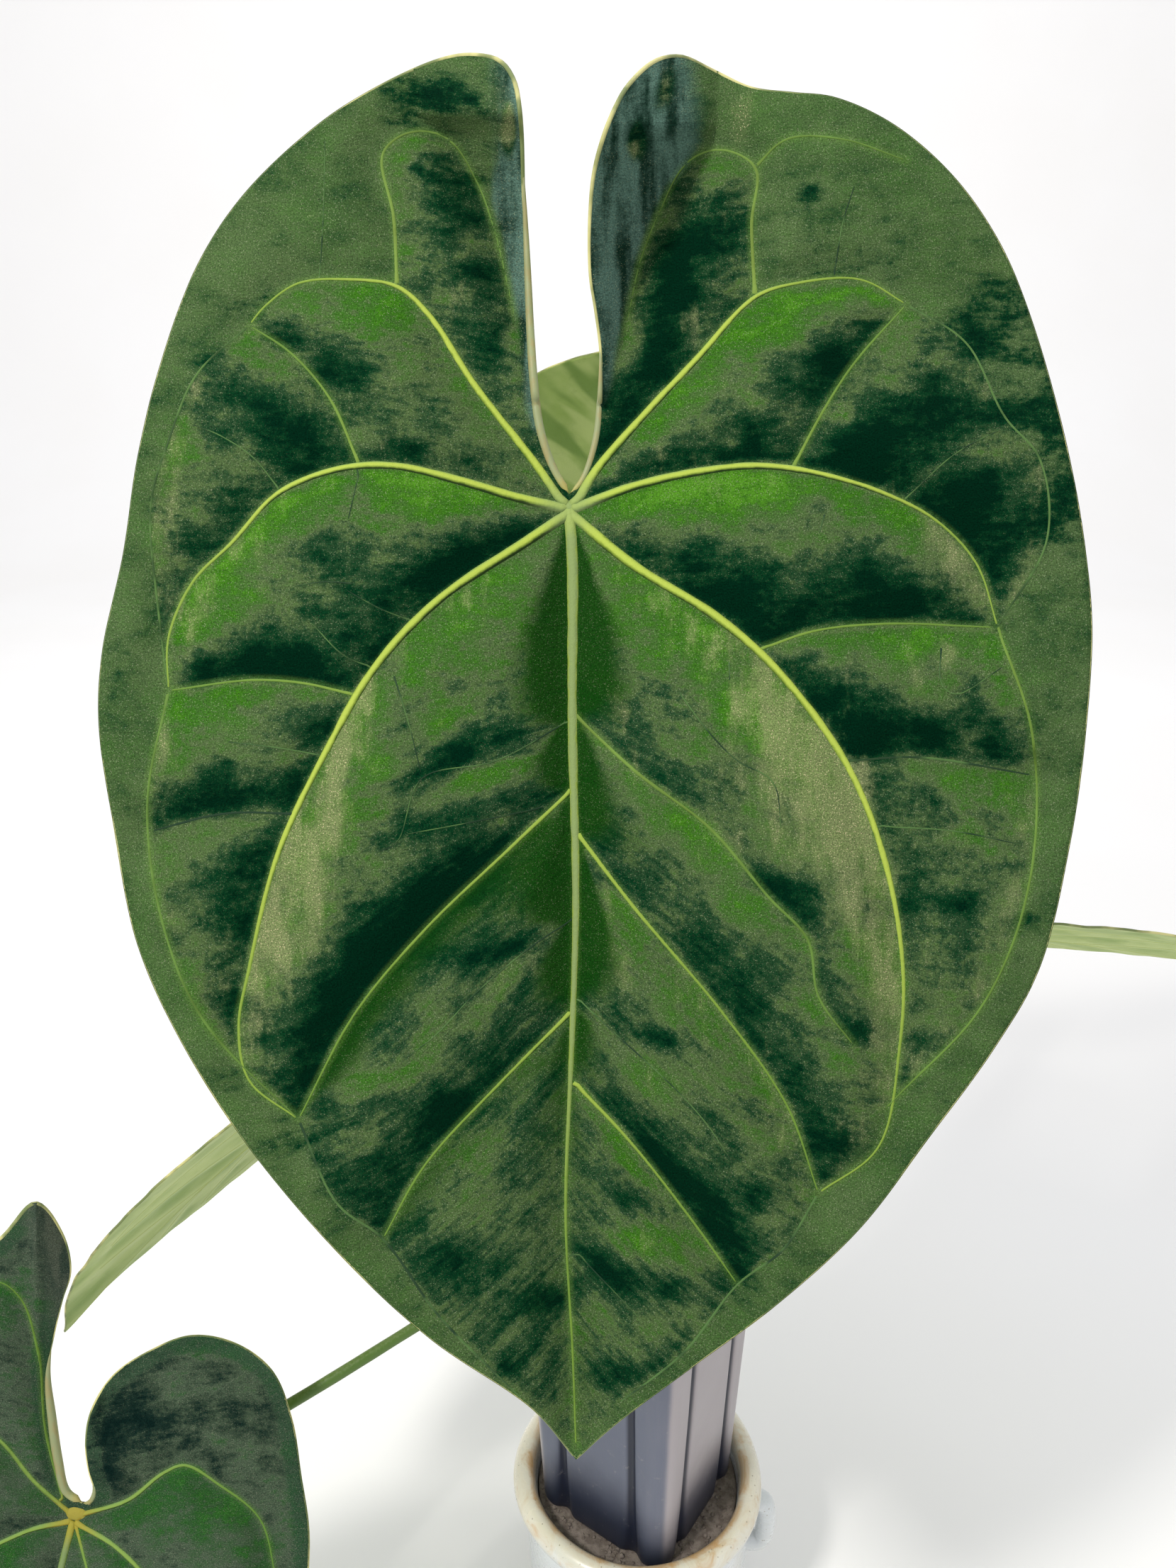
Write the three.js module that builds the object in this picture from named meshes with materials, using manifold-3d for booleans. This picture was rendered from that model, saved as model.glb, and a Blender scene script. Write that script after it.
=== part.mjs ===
// A velvet-leaved anthurium in a tall plastic pot, which stands on a bed of grit in a ceramic cover pot.
// Millimetres, +Z up. The origin is the middle of the cover pot's foot, and the plant faces -Y.

import * as THREE from 'three';
import { mergeVertices } from 'three/addons/utils/BufferGeometryUtils.js';
import Module from 'manifold-3d';

const wasm = await Module();
wasm.setup();

// Driving dimensions: ceramic cover pot
const RIM_Z = 95;
const MOUTH_RADIUS = 50;
const LIP_RADIUS = 60.5;
const BODY_RADIUS = 54.5;
const FOOT_RADIUS = 43;
const CERAMIC_WALL = 5.5;
const CERAMIC_FLOOR = 8;
const CERAMIC_SIDES = 32;
const EAR_TOP = 23;
const EAR_HEIGHT = 37;
const EAR_REACH = 15;
const EAR_RADIUS = 5;

// Driving dimensions: grit bed, plastic pot and potting mix
const BED_DEPTH_BELOW_RIM = 12;
const GAP = 0.3;
const PLASTIC_HEIGHT = 150;
const PLASTIC_BASE_HALF = 35.5;
const PLASTIC_TOP_HALF = 40.5;
const PLASTIC_WALL = 1.4;
const PLASTIC_FLOOR = 3;
const PLASTIC_CORNER = 10;
const PLASTIC_TURN = -34.6;
const FLANGE_HEIGHT = 7;
const FLANGE_OUT = 1.6;
const GROOVE_FROM_CENTRE = 19;
const GROOVE_HALF_WIDTH = 3.2;
const GROOVE_DEPTH = 2.6;
const DRAIN_RADIUS = 5;
const DRAIN_OFFSET = 17;
const MIX_BELOW_PLASTIC_RIM = 10;

// Driving dimensions: stem and stalks
const STEM_RADIUS = 9;
const STEM_IN_MIX = 26;
const STEM_ABOVE_MIX = 34;
const STEM_SIDES = 12;
const SCAR_PITCH = 8;
const SCAR_HEIGHT = 0.6;
const CROWN_LENGTH = 8;
const SHEATH_SHARE = 0.16;
const SHEATH_SWELL = 0.6;
const KNEE_START = 0.93;
const KNEE_SHARE = 0.09;
const KNEE_SWELL = 0.18;

// Driving dimensions: blades
const BLADE_THICK = 0.8;
const RIB_UNDERSIDE = 0.8;
const PANEL_BULGE = 4.4;
const SIDE_BULGE = 1.2;
const PANEL_REACH = 9;
const FRONT_LEAN = 22;
const LOW_LEAN = 20;

// The net that a blade's triangles hang on: free room round each point, and its distance from the margin
const CREST_ROOM = 1.1;
const CREST_MARGIN = 1.6;
const FOOT_ROOM = 0.9;
const FOOT_MARGIN = 1.2;
const FILL_ROOM = 0.5;
const FILL_MARGIN = 0.35;
const ROW_STEP = 0.87;
const NUDGE = 0.02;

const BED_Z = RIM_Z - BED_DEPTH_BELOW_RIM;
const PLASTIC_Z = BED_Z + GAP;
const MIX_Z = PLASTIC_Z + PLASTIC_HEIGHT - MIX_BELOW_PLASTIC_RIM;

const vec = (x, y, z) => new THREE.Vector3(x, y, z);
const radians = THREE.MathUtils.degToRad;
const clamp01 = (t) => Math.min(1, Math.max(0, t));
const mix = (a, b, t) => a + (b - a) * t;

// Wavering number between -1 and 1, the same each time for the same seed
const waver = (seed) => {
  const s = Math.sin(seed * 12.9898) * 43758.5453;
  return 2 * (s - Math.floor(s)) - 1;
};

const solidOf = (geometry) => {
  const bare = geometry.clone();
  bare.deleteAttribute('normal');
  bare.deleteAttribute('uv');
  const merged = mergeVertices(bare, 1e-4);
  const mesh = new wasm.Mesh({
    numProp: 3,
    vertProperties: new Float32Array(merged.attributes.position.array),
    triVerts: new Uint32Array(merged.index.array),
  });
  return new wasm.Manifold(mesh);
};

const geometryOf = (solid) => {
  const mesh = solid.getMesh();
  const geometry = new THREE.BufferGeometry();
  geometry.setAttribute('position', new THREE.BufferAttribute(mesh.vertProperties, 3));
  geometry.setIndex(new THREE.BufferAttribute(mesh.triVerts, 1));
  return geometry;
};

const lathe = (profile, sides) => {
  const points = profile.map(([r, z]) => new THREE.Vector2(r, z));
  const geometry = new THREE.LatheGeometry(points, sides);
  geometry.rotateX(Math.PI / 2);
  return geometry;
};

// Closed body through a stack of rings with the same number of points, each ring given anticlockwise
const loft = (rings) => {
  const count = rings[0].length;
  const positions = rings.flat().flatMap((p) => [p.x, p.y, p.z]);
  const triangles = [];
  for (let level = 0; level < rings.length - 1; level += 1) {
    for (let i = 0; i < count; i += 1) {
      const a = level * count + i;
      const b = level * count + ((i + 1) % count);
      triangles.push(a, b, b + count, a, b + count, a + count);
    }
  }
  const cap = (ring, offset, reverse) => {
    const centre = ring.reduce((sum, p) => sum.add(p), vec(0, 0, 0)).divideScalar(count);
    const middle = positions.length / 3;
    positions.push(centre.x, centre.y, centre.z);
    for (let i = 0; i < count; i += 1) {
      const a = offset + i;
      const b = offset + ((i + 1) % count);
      triangles.push(...(reverse ? [b, a, middle] : [a, b, middle]));
    }
  };
  cap(rings[0], 0, true);
  cap(rings[rings.length - 1], (rings.length - 1) * count, false);
  const geometry = new THREE.BufferGeometry();
  geometry.setAttribute('position', new THREE.Float32BufferAttribute(positions, 3));
  geometry.setIndex(triangles);
  return geometry;
};

// Round stalk along a curve, its radius a function of the way along (0 to 1)
const stalk = (points, radiusAt, sides = 8, steps = 16) => {
  const curve = new THREE.CatmullRomCurve3(points, false, 'centripetal');
  const frames = curve.computeFrenetFrames(steps, false);
  const rings = [];
  for (let i = 0; i <= steps; i += 1) {
    const t = i / steps;
    const centre = curve.getPointAt(t);
    const ring = [];
    for (let k = 0; k < sides; k += 1) {
      const angle = (2 * Math.PI * k) / sides;
      const out = frames.normals[i].clone().multiplyScalar(Math.cos(angle));
      out.addScaledVector(frames.binormals[i], Math.sin(angle));
      ring.push(centre.clone().addScaledVector(out, radiusAt(t)));
    }
    rings.push(ring);
  }
  return loft(rings);
};

// Cover pot

function coverPot() {
  const lipWaist = RIM_Z - 13;
  const lipInner = MOUTH_RADIUS;
  const inner = BODY_RADIUS - CERAMIC_WALL;
  const profile = [
    [0, 0],
    [FOOT_RADIUS, 0],
    [FOOT_RADIUS + 4, 3],
    [BODY_RADIUS - 3.5, 18],
    [BODY_RADIUS, 42],
    [BODY_RADIUS, lipWaist],
    [LIP_RADIUS - 2, RIM_Z - 10],
    [LIP_RADIUS, RIM_Z - 6.5],
    [LIP_RADIUS - 0.8, RIM_Z - 2.8],
    [LIP_RADIUS - 3.4, RIM_Z - 0.5],
    [LIP_RADIUS - 5.4, RIM_Z],
    [lipInner + 2, RIM_Z - 0.8],
    [lipInner, RIM_Z - 3.5],
    [lipInner - 0.4, RIM_Z - 8],
    [inner, RIM_Z - 13],
    [inner, 30],
    [inner - 5, CERAMIC_FLOOR + 4],
    [inner - 10, CERAMIC_FLOOR],
    [0, CERAMIC_FLOOR],
  ];
  const body = solidOf(lathe(profile, CERAMIC_SIDES));
  const top = RIM_Z - EAR_TOP;
  const root = BODY_RADIUS - 2;
  const out = BODY_RADIUS + EAR_REACH - EAR_RADIUS;
  const ear = stalk(
    [
      vec(root, 0, top - EAR_RADIUS),
      vec(out - 2, 0, top - EAR_RADIUS),
      vec(out + 0.6, 0, top - EAR_HEIGHT * 0.5),
      vec(out - 2, 0, top - EAR_HEIGHT + EAR_RADIUS),
      vec(root, 0, top - EAR_HEIGHT + EAR_RADIUS),
    ],
    () => EAR_RADIUS,
    8,
    10,
  );
  return geometryOf(body.add(solidOf(ear)));
}

function gritBed() {
  const inner = BODY_RADIUS - CERAMIC_WALL - GAP;
  const floor = CERAMIC_FLOOR + GAP;
  const profile = [
    [0, floor],
    [inner - 10.2, floor],
    [inner - 5.2, floor + 4],
    [inner, 30],
    [inner, BED_Z - 0.8],
    [inner - 2, BED_Z],
    [0, BED_Z],
  ];
  return lathe(profile, CERAMIC_SIDES);
}

// Plastic pot: a rounded square with two V grooves down each side

function squareSection(half, z) {
  const corner = PLASTIC_CORNER;
  const points = [];
  for (let side = 0; side < 4; side += 1) {
    const turn = (side * Math.PI) / 2;
    const place = (x, y) => {
      const px = x * Math.cos(turn) - y * Math.sin(turn);
      const py = x * Math.sin(turn) + y * Math.cos(turn);
      points.push(vec(px, py, z));
    };
    for (const centre of [-GROOVE_FROM_CENTRE, GROOVE_FROM_CENTRE]) {
      place(half, centre - GROOVE_HALF_WIDTH);
      place(half - GROOVE_DEPTH, centre);
      place(half, centre + GROOVE_HALF_WIDTH);
    }
    for (let i = 1; i < 4; i += 1) {
      const angle = (i / 4) * (Math.PI / 2);
      place(half - corner + corner * Math.cos(angle), half - corner + corner * Math.sin(angle));
    }
  }
  return points;
}

const plasticHalf = (z) => mix(PLASTIC_BASE_HALF, PLASTIC_TOP_HALF, z / PLASTIC_HEIGHT);

function plasticPot() {
  const flangeZ = PLASTIC_HEIGHT - FLANGE_HEIGHT;
  const outer = (z, extra) => squareSection(plasticHalf(z) + extra, z);
  const inner = (z) => squareSection(plasticHalf(z) - PLASTIC_WALL, z);
  const shell = loft([
    outer(0, -1),
    outer(1.5, 0),
    outer(flangeZ, 0),
    outer(flangeZ + 0.8, FLANGE_OUT),
    outer(PLASTIC_HEIGHT, FLANGE_OUT),
    inner(PLASTIC_HEIGHT),
    inner(PLASTIC_FLOOR),
  ]);
  let solid = solidOf(shell);
  for (const [x, y] of [[1, 1], [-1, 1], [-1, -1], [1, -1]]) {
    const drill = new THREE.CylinderGeometry(DRAIN_RADIUS, DRAIN_RADIUS, 4 * PLASTIC_FLOOR, 12);
    drill.rotateX(Math.PI / 2);
    drill.translate(x * DRAIN_OFFSET, y * DRAIN_OFFSET, 0);
    solid = solid.subtract(solidOf(drill));
  }
  return geometryOf(solid);
}

// Potting mix: fills the plastic pot, its top uneven, with a plain hole for the stem

function pottingMix() {
  const inset = PLASTIC_WALL + GAP;
  const top = PLASTIC_HEIGHT - MIX_BELOW_PLASTIC_RIM;
  const ring = (z, shrink, lumps) => {
    const section = squareSection(plasticHalf(Math.min(z, top)) - inset, z);
    return section.map((p, i) => {
      const rise = lumps * waver(i + 50 * shrink);
      return vec(p.x * shrink, p.y * shrink, z + rise);
    });
  };
  const body = loft([
    ring(PLASTIC_FLOOR + GAP, 1, 0),
    ring(top - 3, 1, 0),
    ring(top - 1, 0.97, 0.8),
    ring(top, 0.8, 1.4),
    ring(top + 1, 0.58, 1.4),
    ring(top + 1.5, 0.36, 1),
  ]);
  const hole = new THREE.CylinderGeometry(STEM_RADIUS + GAP, STEM_RADIUS + GAP, 2 * STEM_IN_MIX, 20);
  hole.rotateX(Math.PI / 2);
  hole.translate(0, 0, top);
  return geometryOf(solidOf(body).subtract(solidOf(hole)));
}

// Stem: a short thick rhizome with leaf-scar rings

const stemRadius = (h) => {
  const ring = SCAR_HEIGHT * Math.cos((2 * Math.PI * h) / SCAR_PITCH);
  const crown = clamp01((h - STEM_ABOVE_MIX + CROWN_LENGTH) / CROWN_LENGTH);
  return (STEM_RADIUS - SCAR_HEIGHT + (h > 0 ? ring : 0)) * Math.sqrt(1 - 0.75 * crown * crown);
};

function stemProfile(grow) {
  const profile = [[0, MIX_Z - STEM_IN_MIX + 1 - grow]];
  for (let h = -STEM_IN_MIX + 1; h <= STEM_ABOVE_MIX; h += h < -1 ? 12 : 2) {
    profile.push([stemRadius(h) + grow, MIX_Z + h]);
  }
  profile.push([0, MIX_Z + STEM_ABOVE_MIX + 1 + grow]);
  return profile;
}

// Drawing helpers: curves on the flat drawing of a blade, u across and w towards the lobes

const smooth = (points, spacing) => {
  const curve = new THREE.CatmullRomCurve3(points.map(([u, w]) => vec(u, w, 0)), false, 'centripetal');
  const count = Math.max(2, Math.round(curve.getLength() / spacing));
  return curve.getSpacedPoints(count).map((p) => [p.x, p.y]);
};

const nearestOnLine = (line, u, w) => {
  let best = Infinity;
  let along = 0;
  for (let i = 0; i < line.length - 1; i += 1) {
    const [u0, w0] = line[i];
    const du = line[i + 1][0] - u0;
    const dw = line[i + 1][1] - w0;
    const t = clamp01(((u - u0) * du + (w - w0) * dw) / (du * du + dw * dw));
    const distance = Math.hypot(u - u0 - t * du, w - w0 - t * dw);
    if (distance < best) {
      best = distance;
      along = (i + t) / (line.length - 1);
    }
  }
  return { distance: best, along };
};

const inside = (outline, u, w) => {
  let odd = false;
  for (let i = 0, j = outline.length - 1; i < outline.length; j = i, i += 1) {
    const [ui, wi] = outline[i];
    const [uj, wj] = outline[j];
    if (wi > w !== wj > w && u < ((uj - ui) * (w - wi)) / (wj - wi) + ui) odd = !odd;
  }
  return odd;
};

// Delaunay triangles over a set of points
function delaunay(points) {
  const far = 1e4;
  const all = [...points, [-far, -far], [far, -far], [0, far]];
  const circled = (a, b, c) => {
    const [ax, ay] = all[a];
    const bx = all[b][0] - ax;
    const by = all[b][1] - ay;
    const cx = all[c][0] - ax;
    const cy = all[c][1] - ay;
    const d = 2 * (bx * cy - by * cx);
    const x = (cy * (bx * bx + by * by) - by * (cx * cx + cy * cy)) / d;
    const y = (bx * (cx * cx + cy * cy) - cx * (bx * bx + by * by)) / d;
    return { a, b, c, x: ax + x, y: ay + y, r: x * x + y * y };
  };
  const n = points.length;
  let triangles = [circled(n, n + 1, n + 2)];
  points.forEach(([px, py], i) => {
    const edges = new Map();
    triangles = triangles.filter((t) => {
      if ((px - t.x) ** 2 + (py - t.y) ** 2 > t.r) return true;
      for (const [p, q] of [[t.a, t.b], [t.b, t.c], [t.c, t.a]]) {
        if (edges.has(`${q},${p}`)) edges.delete(`${q},${p}`);
        else edges.set(`${p},${q}`, [p, q]);
      }
      return false;
    });
    for (const [p, q] of edges.values()) triangles.push(circled(p, q, i));
  });
  return triangles.filter((t) => t.a < n && t.b < n && t.c < n).map((t) => [t.a, t.b, t.c]);
}

// Points of the flat net: the margin, three rows along each vein (crest and both feet), and a fill
function netPoints(outline, ribs, pitch) {
  const points = outline.map(([u, w]) => [u, w]);
  const clear = (u, w, room) => points.every(([pu, pw]) => Math.hypot(u - pu, w - pw) > room);
  const offer = (u, w, room, marginRoom) => {
    if (!inside(outline, u, w)) return;
    if (nearestOnLine(outline, u, w).distance < marginRoom) return;
    if (!clear(u, w, room)) return;
    const seed = points.length;
    points.push([u + NUDGE * waver(seed), w + NUDGE * waver(seed + 0.5)]);
  };
  for (const { line } of ribs) {
    for (const [u, w] of line) offer(u, w, CREST_ROOM, CREST_MARGIN);
  }
  for (const { line, halfAt } of ribs) {
    line.forEach(([u, w], i) => {
      const [u0, w0] = line[Math.max(0, i - 1)];
      const [u1, w1] = line[Math.min(line.length - 1, i + 1)];
      const length = Math.hypot(u1 - u0, w1 - w0);
      const half = halfAt(i / (line.length - 1));
      const du = (-(w1 - w0) / length) * half;
      const dw = ((u1 - u0) / length) * half;
      offer(u + du, w + dw, FOOT_ROOM, FOOT_MARGIN);
      offer(u - du, w - dw, FOOT_ROOM, FOOT_MARGIN);
    });
  }
  const reach = Math.max(...outline.map(([u, w]) => Math.max(Math.abs(u), Math.abs(w))));
  for (let row = -Math.ceil(reach / pitch); row * pitch < reach; row += 1) {
    for (let u = -reach; u < reach; u += pitch) {
      offer(u + (row % 2) * pitch * 0.5, row * pitch * ROW_STEP, pitch * FILL_ROOM, pitch * FILL_MARGIN);
    }
  }
  return points;
}

// Height of the ribs above the sheet, and of the sheet's pillows between the veins
const ribAt = (ribs, u, w) => {
  let best = 0;
  for (const { line, halfAt, heightAt } of ribs) {
    const near = nearestOnLine(line, u, w);
    const half = halfAt(near.along);
    if (near.distance < half) {
      best = Math.max(best, heightAt(near.along) * Math.cos((Math.PI / 2) * (near.distance / half)));
    }
  }
  return best;
};

const pillowAt = (ribs, u, w) => {
  let distance = Infinity;
  for (const { line, valley } of ribs) {
    if (valley) distance = Math.min(distance, nearestOnLine(line, u, w).distance);
  }
  return 1 - Math.exp(-((distance / PANEL_REACH) ** 2));
};

// A blade: the flat drawing, its standing-off from the flat, and its place in space
function blade({ left, right, veins, pitch, scale = 1, slim = 1, bulge = PANEL_BULGE, standOff, place }) {
  const marginPitch = pitch * 0.62;
  const scaled = (line) => line.map(([u, w]) => [u * scale * slim, w * scale]);
  const down = smooth(scaled(left), marginPitch);
  const up = smooth(scaled(right), marginPitch);
  const outline = [...down, ...up.slice(1, -1)];
  const lines = veins.map(({ path, from, to, valley = true }) => ({
    line: smooth(scaled(path), pitch * 0.85),
    halfAt: (t) => Math.max(1, mix(from, to, t) * 0.65),
    heightAt: (t) => mix(from, to, t) * 0.5,
    valley,
  }));
  const points = netPoints(outline, lines, pitch);
  const sheet = (u, w) => place(u, w, standOff(u / scale, w / scale) + bulge * pillowAt(lines, u, w));
  const middle = points.map(([u, w]) => sheet(u, w));
  const faces = delaunay(points).filter(([a, b, c]) => {
    const u = (points[a][0] + points[b][0] + points[c][0]) / 3;
    const w = (points[a][1] + points[b][1] + points[c][1]) / 3;
    return inside(outline, u, w);
  });
  const normals = middle.map(() => vec(0, 0, 0));
  for (const [a, b, c] of faces) {
    const ab = middle[b].clone().sub(middle[a]);
    const normal = ab.cross(middle[c].clone().sub(middle[a]));
    for (const i of [a, b, c]) normals[i].add(normal);
  }
  normals.forEach((normal) => normal.normalize());
  const positions = [];
  const ribs = points.map(([u, w]) => ribAt(lines, u, w));
  const lay = (side, ribShare) => {
    middle.forEach((p, i) => {
      const lift = side * (BLADE_THICK / 2 + ribShare * ribs[i]);
      const q = p.clone().addScaledVector(normals[i], lift);
      positions.push(q.x, q.y, q.z);
    });
  };
  lay(1, 1);
  lay(-1, RIB_UNDERSIDE);
  const n = points.length;
  const triangles = [];
  const open = new Map();
  for (const [a, b, c] of faces) {
    triangles.push(a, b, c, n + a, n + c, n + b);
    for (const [p, q] of [[a, b], [b, c], [c, a]]) {
      if (open.has(`${q},${p}`)) open.delete(`${q},${p}`);
      else open.set(`${p},${q}`, [p, q]);
    }
  }
  for (const [p, q] of open.values()) triangles.push(q, p, n + p, q, n + p, n + q);
  const geometry = new THREE.BufferGeometry();
  geometry.setAttribute('position', new THREE.Float32BufferAttribute(positions, 3));
  geometry.setIndex(triangles);
  return { geometry: mergeVertices(geometry, 1e-4), sheet };
}

// Axes of a blade: up runs from the tip to the lobes, and face is the way its upper side looks
function axes(up, face) {
  const w = up.clone().normalize();
  const n = face.clone().addScaledVector(w, -face.dot(w)).normalize();
  return { across: w.clone().cross(n), up: w, face: n };
}

const leaningBack = (degrees) => vec(0, Math.sin(radians(degrees)), Math.cos(radians(degrees)));

// The front blades are drawn as they look from this point: what stands off the flat of the drawing
// slides along its line of sight, so the outline stays the one that is seen
const VIEWPOINT = vec(-24.4, -411, RIM_Z + 524);

const placeSeen = (origin, frame) => (u, w, off) => {
  const flat = origin.clone().addScaledVector(frame.across, u).addScaledVector(frame.up, w);
  const sight = VIEWPOINT.clone().sub(flat);
  return flat.addScaledVector(sight, off / sight.dot(frame.face));
};

// Twist turns the blade about its midrib, from nothing at the hub to the full angle at the tip
const placePlain = (origin, frame, length, twist = 0) => (u, w, off) => {
  const turn = radians(twist) * clamp01(-w / length);
  return origin
    .clone()
    .addScaledVector(frame.across, u * Math.cos(turn))
    .addScaledVector(frame.up, w)
    .addScaledVector(frame.face, off + u * Math.sin(turn));
};

// Where a stalk ends: just under the blade's hub, square to the sheet there
function underHub(sheet, u, w, ribHeight) {
  const step = 2.5;
  const across = sheet(u + step, w).sub(sheet(u - step, w));
  const along = sheet(u, w + step).sub(sheet(u, w - step));
  const face = across.cross(along).normalize();
  const gap = BLADE_THICK / 2 + RIB_UNDERSIDE * ribHeight + GAP + 0.15;
  return { end: sheet(u, w).addScaledVector(face, -gap), face };
}

// Front leaf: its drawing, in millimetres from the hub

const FRONT_LEFT = [
  [0, 3], [-3, 7], [-6, 13], [-9, 23], [-10.5, 35], [-11.5, 50], [-12, 62], [-13, 88], [-14, 112],
  [-16, 122], [-20, 127], [-28, 128.5], [-37, 127], [-55, 119], [-72, 108], [-93, 88], [-106, 68],
  [-117, 38], [-123, 13], [-127, -14], [-133, -42], [-134, -62], [-130, -90], [-123, -125],
  [-111, -152], [-92, -182], [-64, -215], [-39, -238], [-10, -258], [2, -272],
];
const FRONT_RIGHT = [
  [2, -272], [12, -263], [36, -245], [59, -228], [83, -206], [102, -181], [121, -155], [134, -132],
  [143, -95], [147, -67], [149, -35], [147, -12], [142, 16], [132, 52], [123, 74], [110, 93],
  [93, 108], [76, 116], [64, 117.5], [52, 119], [41, 124], [32, 128], [25, 127], [17, 120],
  [12, 111], [7.5, 97], [6, 84], [6, 66], [7.5, 56], [9, 44], [9, 30], [8, 19], [5, 9], [2.5, 5], [0, 3],
];

// A vein is a line on the drawing with its width at the start and at the end
const vein = (from, to, path, valley = true) => ({ from, to, path, valley });

const FRONT_VEINS = [
  vein(3.4, 1, [[0, -1], [1, -16], [1, -60], [2, -113], [1, -150], [-1, -202], [1, -240], [2, -268]]),
  vein(3, 1.2, [
    [-1, -3], [-13, -11], [-37, -27], [-55, -46], [-69, -70], [-83, -100], [-91, -132], [-94, -149],
    [-91, -164], [-77, -175],
  ]),
  vein(3, 1.2, [
    [1, -3], [18, -17], [42, -32], [59, -47], [79, -74], [90, -102], [95, -132], [94, -155],
    [88, -183], [71, -196],
  ]),
  vein(3, 1.2, [
    [-2, -1], [-15, 2], [-32, 7], [-50, 11], [-66, 10], [-83, 3], [-96, -11], [-107, -22],
    [-114, -38], [-114, -53],
  ]),
  vein(3, 1.2, [
    [2, -1], [18, 5], [35, 9], [53, 11], [70, 9], [90, 3], [105, -5], [116, -17], [122, -35],
  ]),
  vein(2.8, 1.2, [
    [-3, 2], [-10, 12], [-27, 34], [-40, 54], [-49, 62], [-62, 64], [-77, 63], [-87, 56], [-91, 51],
  ]),
  vein(2.8, 1.2, [
    [3, 2], [8, 10], [21, 25], [36, 41], [53, 59], [65, 63], [83, 64], [96, 57],
  ]),
  vein(1.6, 1, [[1, -81], [-17, -98], [-41, -121], [-61, -145], [-77, -175]]),
  vein(1.6, 1, [[1, -144], [-19, -164], [-41, -188], [-53, -209]]),
  vein(1.3, 1, [[2, -60], [19, -76], [40, -92], [57, -112], [68, -124], [71, -140], [81, -154]], false),
  vein(1.6, 1, [[2, -93], [18, -114], [44, -145], [62, -171], [71, -196]]),
  vein(1.6, 1, [[2, -165], [18, -182], [36, -205], [48, -222]]),
  vein(1.5, 1, [[-49, 62], [-50, 82], [-53, 100], [-45, 106], [-34, 104], [-26, 92], [-21, 78], [-15, 52]]),
  vein(1.5, 1, [[53, 59], [52, 80], [53, 96], [43, 101], [33, 97], [25, 82], [20, 69], [16, 50]]),
  vein(1.2, 1, [[53, 96], [62, 104], [78, 104], [96, 98]], false),
  vein(1.3, 1, [[-60, 12], [-68, 30], [-79, 43], [-91, 51]]),
  vein(1.3, 1, [[64, 11], [72, 26], [81, 40], [96, 57]]),
  vein(1.3, 1, [[-62, -54], [-75, -51], [-90, -50], [-114, -53]]),
  vein(1.3, 1, [[55, -41], [70, -36], [90, -34], [121, -35]]),
  vein(1, 1, [[-78, -88], [-98, -88], [-119, -93]]),
  vein(1, 1, [[79, -73], [100, -72], [132, -77]]),
  vein(1, 1, [[-91, 51], [-106, 37], [-114, 18], [-119, 0], [-117, -30], [-114, -53]], false),
  vein(1, 1, [[-114, -53], [-120, -85], [-116, -118], [-104, -147], [-77, -175]], false),
  vein(1, 1, [[-77, -175], [-66, -199], [-53, -209], [-37, -231], [-13, -255]], false),
  vein(1, 1, [[96, 57], [113, 46], [124, 25], [134, 13], [136, -10], [122, -35]], false),
  vein(1, 1, [[122, -35], [132, -66], [131, -108], [118, -142], [90, -172]], false),
  vein(1, 1, [[71, -196], [61, -212], [48, -222], [33, -241], [14, -256]], false),
];

const FRONT_LENGTH = 272;
const LOBE_FOLD_LEFT = [[11, 30], [15, 52], [21, 78], [27, 93], [35, 105], [44, 112]];
const LOBE_FOLD_RIGHT = [[11, 30], [16, 50], [20, 69], [25, 82], [33, 97], [42, 108]];

// Half-width of the folded strip beside the cleft at a height w
const foldEdge = (line, w) => {
  for (let i = 0; i < line.length - 1; i += 1) {
    const [u0, w0] = line[i];
    const [u1, w1] = line[i + 1];
    if (w >= w0 && w <= w1) return mix(u0, u1, (w - w0) / (w1 - w0));
  }
  return w > line[0][1] ? line[line.length - 1][0] : 0;
};

// The whole blade arches along its length, lifts on both sides of the midrib, and folds up at the cleft
function frontStandOff(u, w) {
  const t = clamp01(-w / FRONT_LENGTH);
  const arch = w < 0 ? 14 * Math.sin(Math.PI * t) : -0.16 * w - 0.00035 * w * w;
  const wings = 8 * Math.sin((Math.PI * Math.min(150, Math.abs(u))) / 110) * (1 - 0.6 * t);
  const edge = foldEdge(u < 0 ? LOBE_FOLD_LEFT : LOBE_FOLD_RIGHT, w);
  const fold = 1.25 * Math.max(0, edge - Math.abs(u));
  const ripple = 1.4 * Math.sin(w / 11) * clamp01((Math.abs(u) - 95) / 40);
  return arch + wings + fold + ripple;
}

const FRONT_AXES = axes(leaningBack(FRONT_LEAN), vec(0, -1, 0));
const FRONT_HUB = vec(-29.8, -70, RIM_Z + 472);

// Side and rear leaves: one plain heart-shaped drawing at the size of the front leaf

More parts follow.
